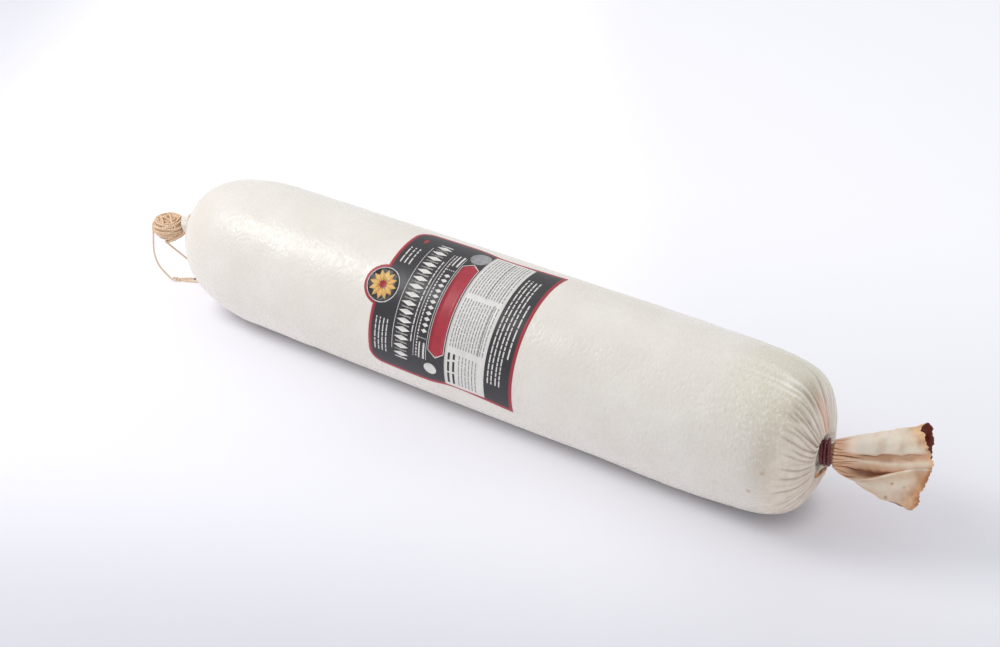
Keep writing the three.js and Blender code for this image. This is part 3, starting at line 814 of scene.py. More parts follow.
def stain_zone(turn, share, near):
    """The pink streaks on the end face above the tie."""
    streaks = 0.65 + 0.35 * np.sin(58 * turn + 3 * np.sin(17 * turn))
    inner = smooth_step(0.14, 0.22, share) * (1 - smooth_step(0.6, 0.85, share))
    return near * beside(turn, 1.72, 0.25) * streaks * inner


# Small stains on the skin, and pale places: where in millimetres, size and strength
SKIN_DOTS = [
    ((-18.9, -47.1, 57.3), 1.1, 0.7),
    ((-25.9, -48.7, 42.5), 1.3, 0.6),
    ((-23.1, -41.5, 25.8), 0.9, 0.6),
    ((-47.0, -50.0, 41.0), 1.6, 0.25),
    ((-31.0, -49.5, 36.0), 0.9, 0.25),
]
PALE_PATCHES = [
    ((1.3, -5.5, 44.0), 2.6, 0.9),
    ((-24.0, -10.0, 99.0), 3.2, 0.5),
]


def near_spots(grid, spots):
    """The strongest of some spots at each point of the skin."""
    value = np.zeros(grid.shape[:2])
    for place, size, strength in spots:
        away = np.linalg.norm(grid - ORIGIN - np.array(place) * MM, axis=-1)
        value = np.maximum(value, strength * bell(away, size * MM))
    return value


make_casing()


# The tail: the empty end of the casing, a flattened tube with folds, open at its end.
# Outlines of it, each with its share of the way from the neck to the mouth. Points are in
# millimetres along the tail, across it (down in front) and away from the front.
TAIL_OUTLINES = [
    (0.27, [
        (20, -13.2, 2), (20.5, -9.5, -3.6), (21, -5.5, -4.6), (21, -2.2, -4),
        (21, 0.3, -2.4), (21, 2, -3.8), (21, 4.2, -3.4), (21, 9.5, -0.6),
        (20, 13.6, -0.9), (20, 15.2, -0.4), (20, 15.9, 0.4), (19.5, 16, 1.6),
        (20, 12.5, 4), (20, 4.5, 6), (20, -5, 5.6), (20, -11.5, 4.4),
    ]),
    (0.56, [
        (36, -18.2, 1.5), (36.5, -13.5, -3), (37.5, -8, -4.4), (38, -3.6, -3.8),
        (38, -1.6, -1.6), (38, 1.6, -3.8), (38, 5.2, -2.9), (38, 9.5, 1.8),
        (38, 8.2, -2.8), (37.5, 13, -3), (36.5, 18.8, -2), (35.5, 24, 0.8),
        (36, 17, 4.4), (36, 6, 6), (36, -6.5, 5.8), (36, -14.8, 4.2),
    ]),
    (1, [
        (54, -21.5, 0.5), (56.5, -18.5, -4), (59, -13, -6), (60.5, -8.5, -6),
        (62, -5.2, -4.2), (63, -2.5, -5), (63, 0.6, -3.6), (62, 5.5, 2),
        (63, 2, -3.4), (60.5, 8, -3.6), (58, 17, -2.6), (55, 29, 0.5),
        (57.5, 17, 4.5), (60, 3, 7.5), (62.5, -11, 7), (59, -24.5, 3.5),
    ]),
]
TAIL_NECK = [(0.3, 5.6), (4.0, 5.8), (5.1, 7.2), (5.55, 8.6)]
TAIL_LEAN = 0.52
TAIL_AROUND = 360
TAIL_STEPS = 80
TAIL_WALL = 0.0003
HOLLOW_FROM = 0.22
# Lines that fan out from the tie: how far round the tail each is, where it ends, and its depth
TAIL_LINES = [
    (0.030, 0.24, 0.5), (0.095, 0.15, 0.5), (0.156, 0.13, 1.0), (0.190, 0.22, 0.5),
    (0.245, 0.33, 1.0), (0.292, 0.20, 0.6), (0.330, 0.30, 1.0), (0.378, 0.24, 0.8),
    (0.415, 0.36, 1.0), (0.452, 0.22, 0.7), (0.492, 0.30, 1.0), (0.530, 0.18, 0.8),
    (0.575, 0.22, 0.5), (0.640, 0.30, 0.7), (0.715, 0.20, 0.6), (0.780, 0.33, 0.8),
    (0.850, 0.22, 0.6), (0.915, 0.30, 0.7), (0.965, 0.18, 0.5),
]
FIRST_CREASE = 0.215
DEEP_FOLD = 0.4375
FLAP_EDGE = 0.512
# Specks on it: how far along and round, size along and round, and strength
TAIL_DOTS = [
    (0.62, 0.576, 0.012, 0.007, 0.9), (0.33, 0.531, 0.012, 0.006, 0.7),
    (0.36, 0.545, 0.010, 0.005, 0.6), (0.60, 0.655, 0.014, 0.007, 0.8),
    (0.50, 0.140, 0.010, 0.005, 0.35), (0.76, 0.600, 0.010, 0.005, 0.5),
]


def tail_axes():
    aim = Vector(TAIL_AIM)
    across = -UPWARD + aim * UPWARD.dot(aim)
    across = (across + TO_FRONT * TAIL_LEAN).normalized()
    across = (across - aim * across.dot(aim)).normalized()
    return np.array(across), np.array(aim.cross(across).normalized())


def curve_weights(shares, t):
    """Weights that carry one smooth curve through values given at some shares of the way."""
    weights = []
    for own in shares:
        others = [other for other in shares if other != own]
        weights.append(math.prod((t - other) / (own - other) for other in others))
    return weights


def tail_wall():
    """Rings of the tail's outside in millimetres on its own axes, and their shares of the way."""
    turns = np.arange(TAIL_AROUND) / TAIL_AROUND
    circle = np.stack([np.zeros(TAIL_AROUND), -np.cos(2 * math.pi * turns),
                       -np.sin(2 * math.pi * turns)], axis=1)
    necks = [circle * radius + (along, 0, 0) for along, radius in TAIL_NECK]
    outlines = [catmull_rom(points, turns, closed=True) for _, points in TAIL_OUTLINES]
    shares = [0, *(share for share, _ in TAIL_OUTLINES)]
    rings = [necks[0], necks[1], (necks[1] + necks[2]) / 2, necks[2]]
    places = [0.0] * len(rings)
    for t in np.linspace(0, 1, TAIL_STEPS + 1):
        weights = curve_weights(shares, t)
        rings.append(sum(w * ring for w, ring in zip(weights, [necks[3], *outlines])))
        places.append(t)
    return np.array(rings), np.array(places)


def tail_surface(wall, place, folds):
    """The tail's outside in the frame, with its folds, its crumples and its frayed edge."""
    across, away = tail_axes()
    outer = (TIE_CENTRE + MM * (wall[..., :1] * TAIL_AIM + wall[..., 1:2] * across
                                + wall[..., 2:] * away))
    lines, crease, fold, flap = folds
    crumple = 0.6 * waves(outer, 0.016, 21) + 0.28 * waves(outer, 0.006, 22)
    lift = -1.0 * lines - 1.4 * crease - 0.8 * fold + 0.4 * flap
    lift = lift + crumple * smooth_step(0.1, 0.5, place)
    outer = outer + tail_normals(outer) * MM * lift[..., None]
    frayed = 0.6 * waves(outer[-1], 0.007, 23) + 0.4 * waves(outer[-1], 0.0025, 24)
    fray = smooth_step(0.9, 1.0, place) * frayed[None]
    return outer + TAIL_AIM * MM * fray[..., None]


def tail_normals(rings):
    """The tail's normals: its outlines run the other way round than the body's rings."""
    return -grid_normals(rings)


def brown_share(outer, place, turn):
    """The browned edge of the mouth, which reaches further in at its corners."""
    corner = smooth_step(0.74, 0.84, place) * (near_turn(turn, 0.02, 0.07) + near_turn(turn, 0.69, 0.03))
    low = 0.8 * smooth_step(0.66, 0.95, place) * near_turn(turn, 0.63, 0.07)
    brown = smooth_step(0.93, 1.0, place) + corner + low + 0.3 * waves(outer, 0.012, 25)
    return np.clip(brown, 0, 1) * smooth_step(0.55, 0.9, place)


def painted_light_share(place, turn, flap):
    """Painted light: the tail paler at its top, on its folds' crests and at its back, where light falls
    on it.
    """
    painted_light = (1 - smooth_step(0.16, 0.21, turn)) + 0.8 * near_turn(turn, 0.31, 0.035) + 0.8 * flap
    painted_light = painted_light + 0.85 * near_turn(turn, 0.60, 0.07) * (1 - smooth_step(0.75, 1.0, place))
    painted_light = painted_light + 0.7 * near_turn(turn, 0.86, 0.09)
    return np.clip(painted_light, 0, 1) * smooth_step(0.02, 0.2, place)


def tail_dots(place, turn):
    dots = np.zeros_like(place)
    for along, at, long, wide, strength in TAIL_DOTS:
        dots = np.maximum(dots, strength * (bell(place - along, long) * near_turn(turn, at, wide)))
    return dots


def make_tail():
    wall, places = tail_wall()
    turn = np.repeat(np.arange(TAIL_AROUND)[None] / TAIL_AROUND, len(places), axis=0)
    place = np.repeat(places[:, None], TAIL_AROUND, axis=1)
    folds = tail_folds(place, turn)
    lines, crease, fold, flap = folds
    outer = tail_surface(wall, place, folds)
    hollow = places > HOLLOW_FROM
    inner = (outer - tail_normals(outer) * TAIL_WALL)[hollow][::-1]
    values = {
        # painted shade in the fanned lines, the first crease and the deep fold
        "fold": np.clip(0.9 * lines + crease + fold, 0, 1),
        "brown": brown_share(outer, place, turn),
        # painted light on the lit parts of the tail
        "painted_light": painted_light_share(place, turn, flap),
        "inside": np.zeros_like(place),
        "dots": tail_dots(place, turn),
    }
    # the inside takes over the brown of its edge alone
    layers = {name: np.concatenate([value, value[hollow][::-1] * (name == "brown")])
              for name, value in values.items()}
    # the inside is painted dark: its browner side, and painted shade inside the tube
    layers["inside"][len(places):] = 1
    rings = np.concatenate([outer, inner])
    tail = ring_piece("tail_skin", rings, tail_look(), layers)
    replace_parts(tail, "casing_tail")


def near_turn(turn, at, wide):
    """A share that is whole at one place round the tail and fades away from it."""
    return bell((turn - at + 0.5) % 1 - 0.5, wide)


def tail_folds(place, turn):
    """How strong the fanned lines, the first crease, the deep fold and the flap's edge are."""
    lines = np.zeros_like(place)
    for at, end, depth in TAIL_LINES:
        line = near_turn(turn, at + 0.01 * np.sin(14 * place + 40 * at), 0.0065)
        lines += depth * line * (1 - smooth_step(end - 0.14, end, place))
    crease = near_turn(turn, FIRST_CREASE, 0.012) * smooth_step(0.2, 0.35, place)
    crease *= 1 - smooth_step(0.75, 0.95, place)
    fold = near_turn(turn, DEEP_FOLD, 0.034) * smooth_step(0.08, 0.3, place)
    flap = near_turn(turn, FLAP_EDGE, 0.010) * smooth_step(0.2, 0.35, place)
    return lines, crease, fold, flap


make_tail()


# The dark cord and the twine at the necks

COIL_STEPS = 260


def coil_path(base, aim, turns, pitch, start_radius, end_radius, rise=0):
    share = np.linspace(0, 1, COIL_STEPS)
    angle = 2 * math.pi * (turns * share + COIL_START)
    radius = start_radius + (end_radius - start_radius) * share * share
    local = polar(radius, angle, (share - 0.5) * turns * pitch)
    turned = UPWARD.rotation_difference(Vector(aim))
    path = np.array([np.array(turned @ Vector(point)) for point in local]) + base
    path[:, 2] += rise * smooth_step(*TIE_RISES, share)
    return path


def make_near_tie():
    path = coil_path(TIE_CENTRE + TAIL_AIM * TIE_SHIFT, TAIL_AIM, TIE_TURNS, TIE_CORD + COIL_GAP,
                     TIE_START_RADIUS, TIE_END_RADIUS, TIE_RISE)
    wobble = np.stack([waves(path, TIE_WOBBLE_SIZE, seed) for seed in (51, 52, 53)], axis=1)
    rings = cord_rings(path + TIE_WOBBLE * wobble, TIE_CORD / 2, sides=24, strands=2, groove=0.08,
                       lay=0.009)
    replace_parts(ring_piece("tie_cord", rings, tie_look()), "near_tie")


# A scrap of dry casing that curls off the skin beside the tie, in millimetres
SCRAP = [(3.4, -17.4, 44.6), (4.4, -13.2, 45.8), (5.0, -8.6, 45.6), (4.6, -3.0, 44.0)]
SCRAP_WIDTH = 0.0028
SCRAP_FACE = unit([1, -0.2, 0.3])


def make_scrap():
    path = evenly(ORIGIN + np.array(SCRAP) * MM, 0.0003)
    share = np.linspace(0, 1, len(path))[:, None, None]
    width = 0.3 + 0.7 * np.sin(math.pi * (0.15 + 0.75 * share))
    offsets = (cord_rings(path, SCRAP_WIDTH / 2) - path[:, None]) * width
    offsets -= 0.7 * (offsets @ SCRAP_FACE)[..., None] * SCRAP_FACE
    ring_piece("dry_scrap", path[:, None] + offsets, scrap_look())


def make_far_tie():
    radius = NECK_RADIUS + TWINE / 2 + GAP
    base = FAR_NECK_BASE + FAR_NECK_AIM * FAR_NECK_LENGTH * FAR_TIE_AT
    path = coil_path(base, FAR_NECK_AIM, FAR_TIE_TURNS, TWINE + COIL_GAP, radius, radius)
    tie = ring_piece("far_tie_twine", twine_rings(path), pale_twine)
    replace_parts(tie, "far_tie")


make_near_tie()
make_far_tie()
make_scrap()


# The bundle of twine: turns wound round a tapered core, and strands looped over its domed top

HANK_TURNS = 7
DOME_TURNS = 5
HANK_STEP = 0.0006
HANK_SIDES = 12
DOME_STRANDS = 6
DOME_OUTER = 0.0110
DOME_INNER = 0.0030
HANK_FOOT = -HANK_HEIGHT / 2 + 0.6 * TWINE
CORE_SIDES = 48
# Loose turns round the rim: how many degrees each reaches to both sides of its own place, and
# their places in degrees round from +X, distances from the middle, and lifts
LOOSE_TURN_REACH = 85
LOOSE_TURNS = [(150, 0.0102, 0.0012), (20, 0.0098, 0.0014), (265, 0.0094, 0.0010)]
# Strands on the outside: degrees round from +X, height from the middle, and lift off the side.
# Two bind the bundle and run down across its front to a knot at its foot.
BINDING_STRANDS = [
    [(38, 0.0045, 0.0002), (20, 0.0015, 0.0005), (-10, -0.0020, 0.0006),
     (-40, -0.0052, 0.0006), (-66, -0.0080, 0.0006)],
    [(30, 0.0005, 0.0002), (8, -0.0022, 0.0006), (-22, -0.0055, 0.0006), (-60, -0.0086, 0.0002)],
]
FOOT_KNOT_AT = (-68, -0.0083, 0.0006)
FOOT_KNOT_TURNS = 1.8
SIDE_STRAND = [(0, 0.0062, -0.0012), (0, 0.0048, 0.0006), (-1, 0.0020, 0.0011),
               (-2, -0.0020, 0.0012), (-3, -0.0050, 0.0006), (-4, -0.0065, -0.0006)]
SIDE_STRANDS_AT = (6, 15)
# Darker spots: where in millimetres from the bundle's middle, and size
HANK_SPOTS = [((-11.2, 0.1, 5.7), 2.4), ((6.1, 3.5, 6.5), 2.0), ((4.8, -6.1, 6.0), 1.3)]


def hank_belly(height):
    """The bundle's radius at a height from its middle."""
    fall = np.maximum(0, (HANK_WAIST - height) / (HANK_WAIST + HANK_HEIGHT / 2))
    return HANK_RADIUS * (1 - HANK_TAPER * fall**HANK_POWER)


def hank_dome(radius):
    """The height of the bundle's domed top at a distance from its middle."""
    return HANK_HEIGHT / 2 - (HANK_HEIGHT / 2 - HANK_RIM) * (radius / HANK_RADIUS) ** 2


def on_hank(degrees, height, lift):
    """A point beside the bundle, at degrees round from +X."""
    turn = math.radians(degrees)
    radius = hank_belly(height) + lift
    return [radius * math.cos(turn), radius * math.sin(turn), height]


def hank_cord(points):
    return twine_rings(evenly(np.array(points) + HANK_CENTRE, HANK_STEP, 4000), HANK_SIDES)


def hank_winding():
    """The path of the turns up the side and then inwards over the top."""
    share = np.linspace(0, 1, COIL_STEPS)
    height = HANK_FOOT + (HANK_RIM - 0.3 * TWINE - HANK_FOOT) * share
    angle = 2 * math.pi * HANK_TURNS * share
    height = height + 0.0004 * np.sin(1.5 * angle + 1) + 0.0003 * np.sin(2.7 * angle)
    side = polar(hank_belly(height) - TWINE / 2 + 0.0003 * np.sin(2.3 * angle), angle, height)
    radius = DOME_OUTER + (DOME_INNER - DOME_OUTER) * share
    angle = angle[-1] + 2 * math.pi * DOME_TURNS * (share + 0.05)
    radius = radius + 0.0006 * np.sin(1.7 * angle)
    height = hank_dome(radius) - 0.35 * TWINE + 0.0004 * np.sin(2.3 * angle)
    return np.vstack([side, polar(radius, angle, height)])


def dome_strand(rng):
    """One strand that starts at the rim, bows across the top and ends at the other side."""
    aim = rng.uniform(0, 2 * math.pi)
    off = rng.uniform(-0.0075, 0.0075)
    bow = rng.uniform(-0.005, 0.005)
    layer = rng.uniform(0.1, 0.8) * TWINE
    ahead = np.array([math.cos(aim), math.sin(aim)])
    side = np.array([-ahead[1], ahead[0]])
    reach = math.sqrt(HANK_RADIUS**2 - off**2) - 0.7 * TWINE
    points = []
    for way in (-1, -0.9, -0.65, -0.3, 0, 0.3, 0.65, 0.9, 1):
        flat = ahead * reach * way + side * (off + bow * (1 - way * way))
        height = hank_dome(np.linalg.norm(flat)) + layer - 1.6 * TWINE * way**8
        points.append([*flat, height])
    return points


def loose_turn(degrees, reach, lift):
    """Part of a turn that stands up a little round the rim."""
    arc = np.radians(np.linspace(degrees - LOOSE_TURN_REACH, degrees + LOOSE_TURN_REACH, 9))
    height = hank_dome(reach) + lift * np.cos(np.linspace(-1.4, 1.4, 9)) - 0.0004
    return hank_cord(polar(reach, arc, height))


def outer_strands():
    """The strands that bind the bundle, and those that go straight down at its side."""
    strands = list(BINDING_STRANDS)
    for at in SIDE_STRANDS_AT:
        strands.append([(at + degrees, height, lift) for degrees, height, lift in SIDE_STRAND])
    return [hank_cord([on_hank(*place) for place in strand]) for strand in strands]


def foot_knot():
    """The small knot at the foot of the strands that bind the bundle."""
    share = np.linspace(0, 1, 40)
    turn = 2 * math.pi * FOOT_KNOT_TURNS * share
    around = np.stack([0.0011 * np.cos(turn), 0.0024 * (share - 0.5), 0.0010 * np.sin(turn)], axis=1)
    return hank_cord(around + on_hank(*FOOT_KNOT_AT))


def make_hank():
    rng = np.random.default_rng(31)
    bodies = [hank_core(), hank_cord(hank_winding())]
    bodies += [hank_cord(dome_strand(rng)) for _ in range(DOME_STRANDS)]
    bodies += [loose_turn(*turn) for turn in LOOSE_TURNS]
    bodies += [*outer_strands(), foot_knot()]
    points, faces = joined(bodies)
    local = (points - HANK_CENTRE) / MM
    spot = sum(bell(np.linalg.norm(local - place, axis=1), size) for place, size in HANK_SPOTS)
    layers = {"spot": np.clip(spot, 0, 1) * 0.7}
    hank = mesh_piece("twine_bundle", points, faces, tan_twine, layers)
    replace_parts(hank, "twine_hank")


def hank_core():
    """The inside of the bundle, under its strands."""
    outline = [(hank_belly(height) - 0.8 * TWINE, height)
               for height in np.linspace(HANK_FOOT, HANK_RIM - TWINE, 10)]
    outline += [(radius, hank_dome(radius) - 0.7 * TWINE) for radius in (0.0095, 0.0065, 0.0030)]
    turns = circle_turns(CORE_SIDES)
    return np.array([polar(radius, turns, height) for radius, height in outline]) + HANK_CENTRE


make_hank()


# The label. Its print is in millimetres: across from its middle, down from its top edge.

# How many degrees the label's middle is up from the casing's front
LABEL_MID_ANGLE = 44.5
LABEL_CORNER = 9.7
BADGE_RADIUS = 14.5
BADGE_SINK = 3
# Shares of the way down, and the label's half width there
LABEL_HALF_WIDTH = [(0, 56.8), (0.35, 58), (0.62, 54.5), (1, 57.4)]
LABEL_LENGTH = (LABEL_BOTTOM - LABEL_TOP) * BODY_RADIUS / MM
LABEL_ROWS = 100
# Heights of the paper's two sides above the casing
PAPER_LOW = 0.05
PAPER_HIGH = 0.20
# How deep the ink's lower side lies in the paper, and the cuts that let it bend with the label:
# the way that they follow each other, how far they reach and how far apart they are
INK_SINK = 0.03
PRINT_CUTS = [((1, 0), 58, 2), ((0, 1), 116, 6)]
# Places of the print: the badge's middle, the red band's middle line, the fine rules' ends
BADGE_PRINT_AT = (0, 2.8)
BAND_DOWN = 54.8
RULE_ENDS = (-39.6, 39.4)
RULE = 0.4
# Each ink's two shades, and how high it stands on the paper
INKS = {
    "cream": ((0.78, 0.76, 0.72), (0.72, 0.70, 0.66), 0.03),
    "red": ((0.42, 0.025, 0.045), (0.36, 0.02, 0.035), 0.05),
    "grey": ((0.28, 0.28, 0.29), (0.36, 0.36, 0.37), 0.05),
    "black": ((0.02, 0.02, 0.022), (0.03, 0.03, 0.03), 0.05),
    "gold": ((0.75, 0.40, 0.10), (0.80, 0.52, 0.18), 0.07),
}


def label_point(across, down, height):
    """A point on the label, or on paper or ink at a height above the casing."""
    x = LABEL_TOP * BODY_RADIUS + down * MM
    radius = barrel_radius(x / BODY_RADIUS) + height * MM
    angle = math.radians(LABEL_MID_ANGLE) + across * MM / BODY_RADIUS
    return ORIGIN + np.stack([x, -radius * np.cos(angle),
                              AXIS_HEIGHT + radius * np.sin(angle)], axis=-1)


def top_edge(across, half_width):
    reach = np.abs(across)
    run = np.clip((reach - (half_width - LABEL_CORNER)) / LABEL_CORNER, 0, 1)
    corner = LABEL_CORNER * (1 - np.sqrt(1 - run * run))
    rise = np.sqrt(np.maximum(0, BADGE_RADIUS**2 - across**2)) - BADGE_SINK
    return np.where(run > 0, corner, -np.maximum(0, rise))


def label_columns():
    half = LABEL_HALF_WIDTH[0][1]
    corner = half - LABEL_CORNER * (1 - np.sin(np.linspace(0, math.pi / 2, 16)))
    badge_edge = math.asin(math.sqrt(BADGE_RADIUS**2 - BADGE_SINK**2) / BADGE_RADIUS)
    badge = BADGE_RADIUS * np.sin(np.linspace(0, badge_edge, 22))
    between = np.linspace(badge[-1], corner[0], 26)[1:-1]
    right = np.concatenate([badge, between, corner])
    return np.concatenate([-right[:0:-1], right]) / half


def label_grid():
    """Places across and down the label for each row and column of its sheet."""
    half = LABEL_HALF_WIDTH[0][1]
    columns = label_columns()
    top = top_edge(columns * half, half)
    rows = np.linspace(0, 1, LABEL_ROWS + 1)[:, None]
    down = top + (LABEL_LENGTH - top) * rows
    share = np.clip(down / LABEL_LENGTH, 0, 1).ravel()
    # the half width is a smooth curve over the way down, read off at each place
    fine = catmull_rom(LABEL_HALF_WIDTH, np.linspace(0, 1, 400))
    width = np.interp(share, fine[:, 0], fine[:, 1]).reshape(down.shape)
    return columns * width, down


def from_edge(across, down):
    """How far each place is from the label's outline."""
    outline = np.concatenate([
        np.stack([across[0], down[0]], 1), np.stack([across[:, -1], down[:, -1]], 1),
        np.stack([across[-1, ::-1], down[-1, ::-1]], 1), np.stack([across[::-1, 0], down[::-1, 0]], 1),
    ])
    fine = np.concatenate([outline + (np.roll(outline, -1, 0) - outline) * k / 4 for k in range(4)])
    places = np.stack([across.ravel(), down.ravel()], 1)
    nearest = [np.sqrt(((fine - place) ** 2).sum(1).min()) for place in places]
    return np.array(nearest).reshape(across.shape)


def make_label():
    across, down = label_grid()
    rows, columns = across.shape
    distance = from_edge(across, down) * MM
    sheets = [label_point(across, down, height).reshape(-1, 3) for height in (PAPER_LOW, PAPER_HIGH)]
    per_sheet = rows * columns
    i, j = np.meshgrid(np.arange(rows - 1), np.arange(columns - 1), indexing="ij")
    a = (i * columns + j).ravel()
    quads = np.stack([a, a + 1, a + columns + 1, a + columns], axis=1)
    faces = quads.tolist() + (quads[:, ::-1] + per_sheet).tolist()
    loop = [*range(columns - 1), *range(columns - 1, per_sheet - 1, columns),
            *range(per_sheet - 1, per_sheet - columns, -1), *range(per_sheet - columns, 0, -columns)]
    for start, end in zip(loop, loop[1:] + loop[:1]):
        faces.append([end, start, start + per_sheet, end + per_sheet])
    layers = {"from_edge": np.concatenate([distance.ravel(), distance.ravel()])}
    label = mesh_piece("label_sheet", np.concatenate(sheets), faces, label_look(), layers)
    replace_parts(label, "label")


def box(left, top, right, bottom):
    return [(left, top), (right, top), (right, bottom), (left, bottom)]


def disc(across, down, radius, sides=40, tall=1.0):
    return [(across + radius * math.cos(turn), down + radius * tall * math.sin(turn))
            for turn in circle_turns(sides)]


def lozenge(across, down, half_width, half_height):
    return [(across - half_width, down), (across, down - half_height),
            (across + half_width, down), (across, down + half_height)]


def pointed_band(left, right, left_shoulder, right_shoulder, half_height):
    """A band with pointed ends, as its points from the left one on."""
    top, bottom = BAND_DOWN - half_height, BAND_DOWN + half_height
    return [(left, BAND_DOWN), (left_shoulder, top), (right_shoulder, top), (right, BAND_DOWN),
            (right_shoulder, bottom), (left_shoulder, bottom)]


def petals(across, down, inner, outer, count, width):
    """Pointed petals round a middle."""
    shapes = []
    for k in range(count):
        turn = 2 * math.pi * k / count
        aim = np.array([math.cos(turn), math.sin(turn)])
        side = np.array([-aim[1], aim[0]])
        centre = np.array([across, down])
        middle = (inner + outer) / 2
        shapes.append([tuple(centre + aim * r + side * s) for r, s in (
            (inner, 0), (middle * 0.8, width / 2), (middle * 1.1, width / 2), (outer, 0),
            (middle * 1.1, -width / 2), (middle * 0.8, -width / 2))])
    return shapes


def text_line(left, right, down, height, rng, word=(2.0, 6.0)):
    """A line of small print as bars of uneven length."""
    shapes = []
    at = left
    while at < right:
        long = rng.uniform(*word) * height
        end = min(at + long, right)
        if end - at > height * 0.5:
            shapes.append(box(at, down - height / 2, end, down + height / 2))
        at = end + height * rng.uniform(0.5, 0.9)
    return shapes


def print_piece(name, shapes, material, height):
    """Flat printed shapes as thin closed bodies that follow the label's curve."""
    flat = bmesh.new()
    for shape in shapes:
        flat.faces.new([flat.verts.new((across, down, 0)) for across, down in shape])
    for (x, y), reach, pitch in PRINT_CUTS:
        for place in range(-reach, reach + 1, pitch):
            everything = flat.verts[:] + flat.edges[:] + flat.faces[:]
            bmesh.ops.bisect_plane(flat, geom=everything, plane_co=(x * place, y * place, 0),
                                   plane_no=(x, y, 0))
    bmesh.ops.triangulate(flat, faces=flat.faces[:])
    flat.verts.index_update()
    places = np.array([vertex.co[:2] for vertex in flat.verts])
    count = len(places)
    points = np.concatenate([
        label_point(places[:, 0], places[:, 1], PAPER_HIGH - INK_SINK),
        label_point(places[:, 0], places[:, 1], PAPER_HIGH + height),
    ])
    faces = []
    for face in flat.faces:
        corners = [vertex.index for vertex in face.verts]
        if face.normal.z > 0:
            corners.reverse()
        faces.append(corners[::-1])
        faces.append([corner + count for corner in corners])
    for edge in flat.edges:
        if edge.is_boundary:
            start, end = (vertex.index for vertex in edge.verts)
            faces.append([start, end, end + count, start + count])
    flat.free()
    mesh_piece(name, points, faces, material)


def print_badge(ink):
    """A rosette in a ring."""
    ink["cream"] += [disc(*BADGE_PRINT_AT, 12.4)]
    ink["black"] += [disc(*BADGE_PRINT_AT, 11.8)]
    ink["gold"] += petals(*BADGE_PRINT_AT, 2.2, 10.6, 12, 3.6)
    ink["red"] += [disc(*BADGE_PRINT_AT, 2.6)]


def print_dark_field(ink, rng):
    """A frieze of lozenges between bars, lines of small print and a row of ornaments."""
    cream = ink["cream"]
    for place in np.arange(-42, 43, 6):
        cream.append(lozenge(place, 27, 1.9, 6.1))
        for side in (-1, 1):
            cream.append(box(place + side * 3 - 0.45, 22.2, place + side * 3 + 0.45, 31.8))
    for down in (5.5, 8.5, 11.5, 14.5):
        cream += text_line(-45, -21, down, 0.9, rng)
    for down in (6, 9.5, 13):
        cream += text_line(19, 34, down, 1.1, rng)
    cream += text_line(-30, 30, 34.6, 0.9, rng)
    cream += text_line(-39, 39, 39.4, 1.0, rng, (1.0, 2.0))
    for place in np.arange(-20, 21, 4):
        cream.append(lozenge(place, 43.6, 1.5, 2.4))
    for left, right in ((RULE_ENDS[0], -28), (29, 40)):
        cream += [box(left, 41.2, right, 42.3), box(left, 44.4, right, 45.9)]
    for side in (-25, 25):
        for down in np.arange(40.8, 46.6, 1.6):
            cream.append(disc(side, down, 0.45, 10))


def print_band(ink):
    """The red band with pointed ends and a pale edge."""
    ink["cream"] += [pointed_band(-36, 36.5, -31.5, 32, 6.4)]
    ink["red"] += [pointed_band(-35.2, 35.7, -31.2, 31.7, 5.9)]


def print_panel(ink, rng):
    """The pale panel with its columns of small print, and the lines under it."""
    ink["cream"] += [box(-53.4, 62.0, 52.7, 93.0)]
    for down in (65.4, 69.4):
        ink["black"] += text_line(-51, -28, down, 1.7, rng, (3, 6))
    for down in np.arange(73.5, 88, 2.6):
        ink["grey"] += text_line(-51, -28, down, 0.8, rng)
    for down in np.arange(65, 92, 2.1):
        ink["grey"] += text_line(-23.5, 10, down, 0.8, rng)
        ink["grey"] += text_line(14, 51, down, 0.8, rng)
    for left, right, top in ((-24.2, 11.1, 86.6), (13.4, 52.1, 77.9), (13.4, 52.1, 87.6)):
        ink["black"] += [box(left, top, right, top + RULE)]
    for down in (96, 98.8, 102, 104.8):
        ink["cream"] += text_line(*RULE_ENDS, down, 1.0, rng)
    ink["cream"] += text_line(-18.9, 19.1, 108.5, 1.1, rng, (3, 8))


def print_marks(ink):
    """Small marks at the sides."""
    ink["cream"] += [disc(-45.5, 50.5, 4.2, 24, 1.2)]
    ink["grey"] += [disc(44.2, 54.8, 7.2)]
    ink["red"] += [lozenge(43.8, 10.6, 3.4, 1.8)]


def make_print():
    rng = np.random.default_rng(41)
    ink = {name: [] for name in INKS}
    ink["cream"] += [box(RULE_ENDS[0], top, RULE_ENDS[1], top + RULE) for top in (19.5, 36.9, 47.0)]
    print_badge(ink)
    print_dark_field(ink, rng)
    print_band(ink)
    print_panel(ink, rng)
    print_marks(ink)
    for name, (colour, other, height) in INKS.items():
        print_piece("print_" + name, ink[name], ink_look(name + "_ink", colour, other), height)


make_label()
make_print()


# The table and the light

FLOOR_REACH = 4


def from_line(look, x, y, start, end):
    """How far each place on the table is from a line drawn on it."""
    length = math.dist(start, end)
    aim = [(last - first) / length for first, last in zip(start, end)]
    offsets = [look.maths("SUBTRACT", value, first) for value, first in zip((x, y), start)]
    along = look.maths("ADD", *(look.times(offset, way) for offset, way in zip(offsets, aim)))
    along = look.maths("MINIMUM", look.maths("MAXIMUM", along, 0.0), length)
    squares = []
    for offset, way in zip(offsets, aim):
        left = look.maths("SUBTRACT", offset, look.times(along, way))
        squares.append(look.times(left, left))
    return look.maths("SQRT", look.maths("ADD", *squares))


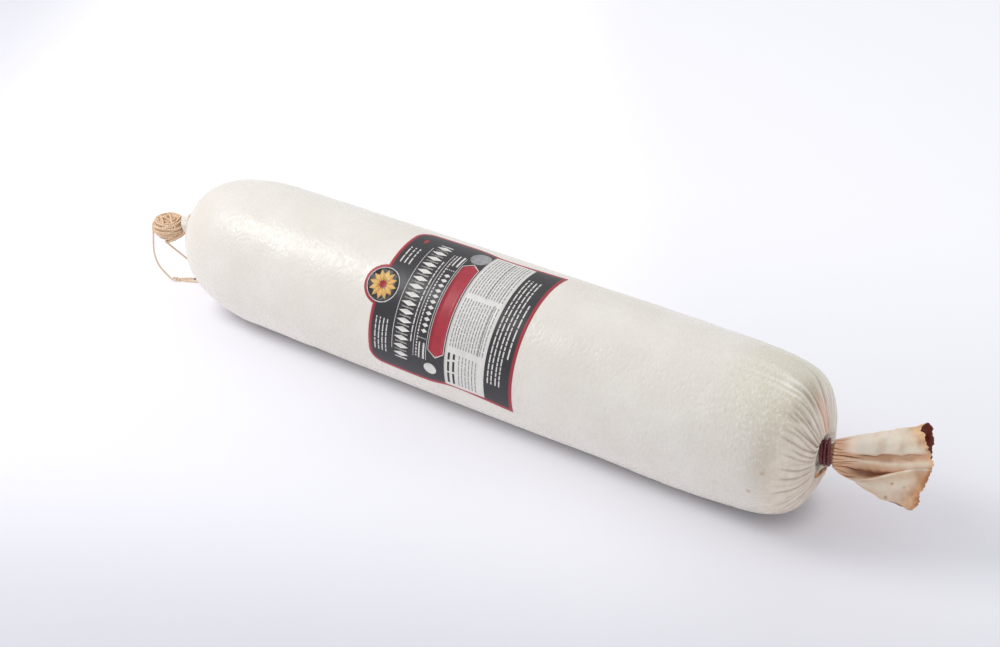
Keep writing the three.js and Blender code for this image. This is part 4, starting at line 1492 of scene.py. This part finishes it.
def table_glow(look):
    """How much the table glows, as painted light that stands in for fill light: less at its front and
    sides, and painted shadow under the salami and beside its near end.
    """
    split = look.node("SeparateXYZ")
    look.put(look.place, split.inputs[0])
    x, y = split.outputs["X"], split.outputs["Y"]
    toward = look.maths("ADD", look.times(x, 0.35), look.times(y, -0.94))
    aside = look.maths("ADD", look.times(x, 0.836), look.times(y, 0.548))
    near_end = ORIGIN[0]
    # painted shadow: the glow fades along the salami's contact line and along its near end's shadow
    under = from_line(look, x, y, (near_end - 0.455, 0), (near_end - 0.03, 0))
    shade = from_line(look, x, y, (near_end + 0.01, 0), (near_end + 0.17, 0.065))
    glow = look.step(toward, -0.35, 0.08, 0.40, 0.25)
    for share in (
        look.step(toward, 0.10, 0.32, 1.0, 0.15),
        look.step(aside, -0.36, -0.54, 1.0, 0.5),
        look.step(aside, 0.04, 0.17, 1.0, 0.8),
        look.step(under, 0.018, 0.038),
        look.step(shade, 0.015, 0.07, 0.6, 1.0),
    ):
        glow = look.times(glow, share)
    return glow


def make_floor():
    mesh = bpy.data.meshes.new("floor")
    corners = [(x, y, 0) for x, y in box(-FLOOR_REACH, -FLOOR_REACH, FLOOR_REACH, FLOOR_REACH)]
    mesh.from_pydata(corners, [], [(0, 1, 2, 3)])
    look = Look("pale_table", 0.6, Specular_IOR_Level=0.2, Emission_Strength=1.0)
    look.colour(look.mix((0.695, 0.69, 0.745), (0.705, 0.70, 0.755), look.noise(0.05, 2)))
    glow = look.mix((0.0, 0.0, 0.0), (1.0, 1.0, 1.0), table_glow(look))
    look.put(glow, look.shader.inputs["Emission Color"])
    mesh.materials.append(look.material)
    add_object("floor", mesh)


def make_area_light(name, place, target, size, power):
    data = bpy.data.lights.new(name, "AREA")
    data.shape = "RECTANGLE"
    data.size, data.size_y = size
    data.energy = power
    light = add_object(name, data)
    light.location = place
    aim = Vector(target) - Vector(place)
    light.rotation_euler = aim.to_track_quat("-Z", "Y").to_euler()


def make_lights():
    world = bpy.data.worlds.new("studio")
    world.use_nodes = True
    background = world.node_tree.nodes["Background"]
    background.inputs["Color"].default_value = (0.97, 0.975, 1.0, 1)
    background.inputs["Strength"].default_value = 0.73
    bpy.context.scene.world = world
    aim = ORIGIN + np.array([-0.3, 0, 0.05])
    make_area_light("key", ORIGIN + np.array([-0.99, -0.384, 0.80]), aim, (0.42, 0.42), 3.8)
    make_area_light("overhead", ORIGIN + np.array([-0.25, 0.35, 1.4]), aim, (1.6, 1.2), 2.4)


make_floor()
make_lights()
bpy.context.scene.view_settings.view_transform = "Standard"
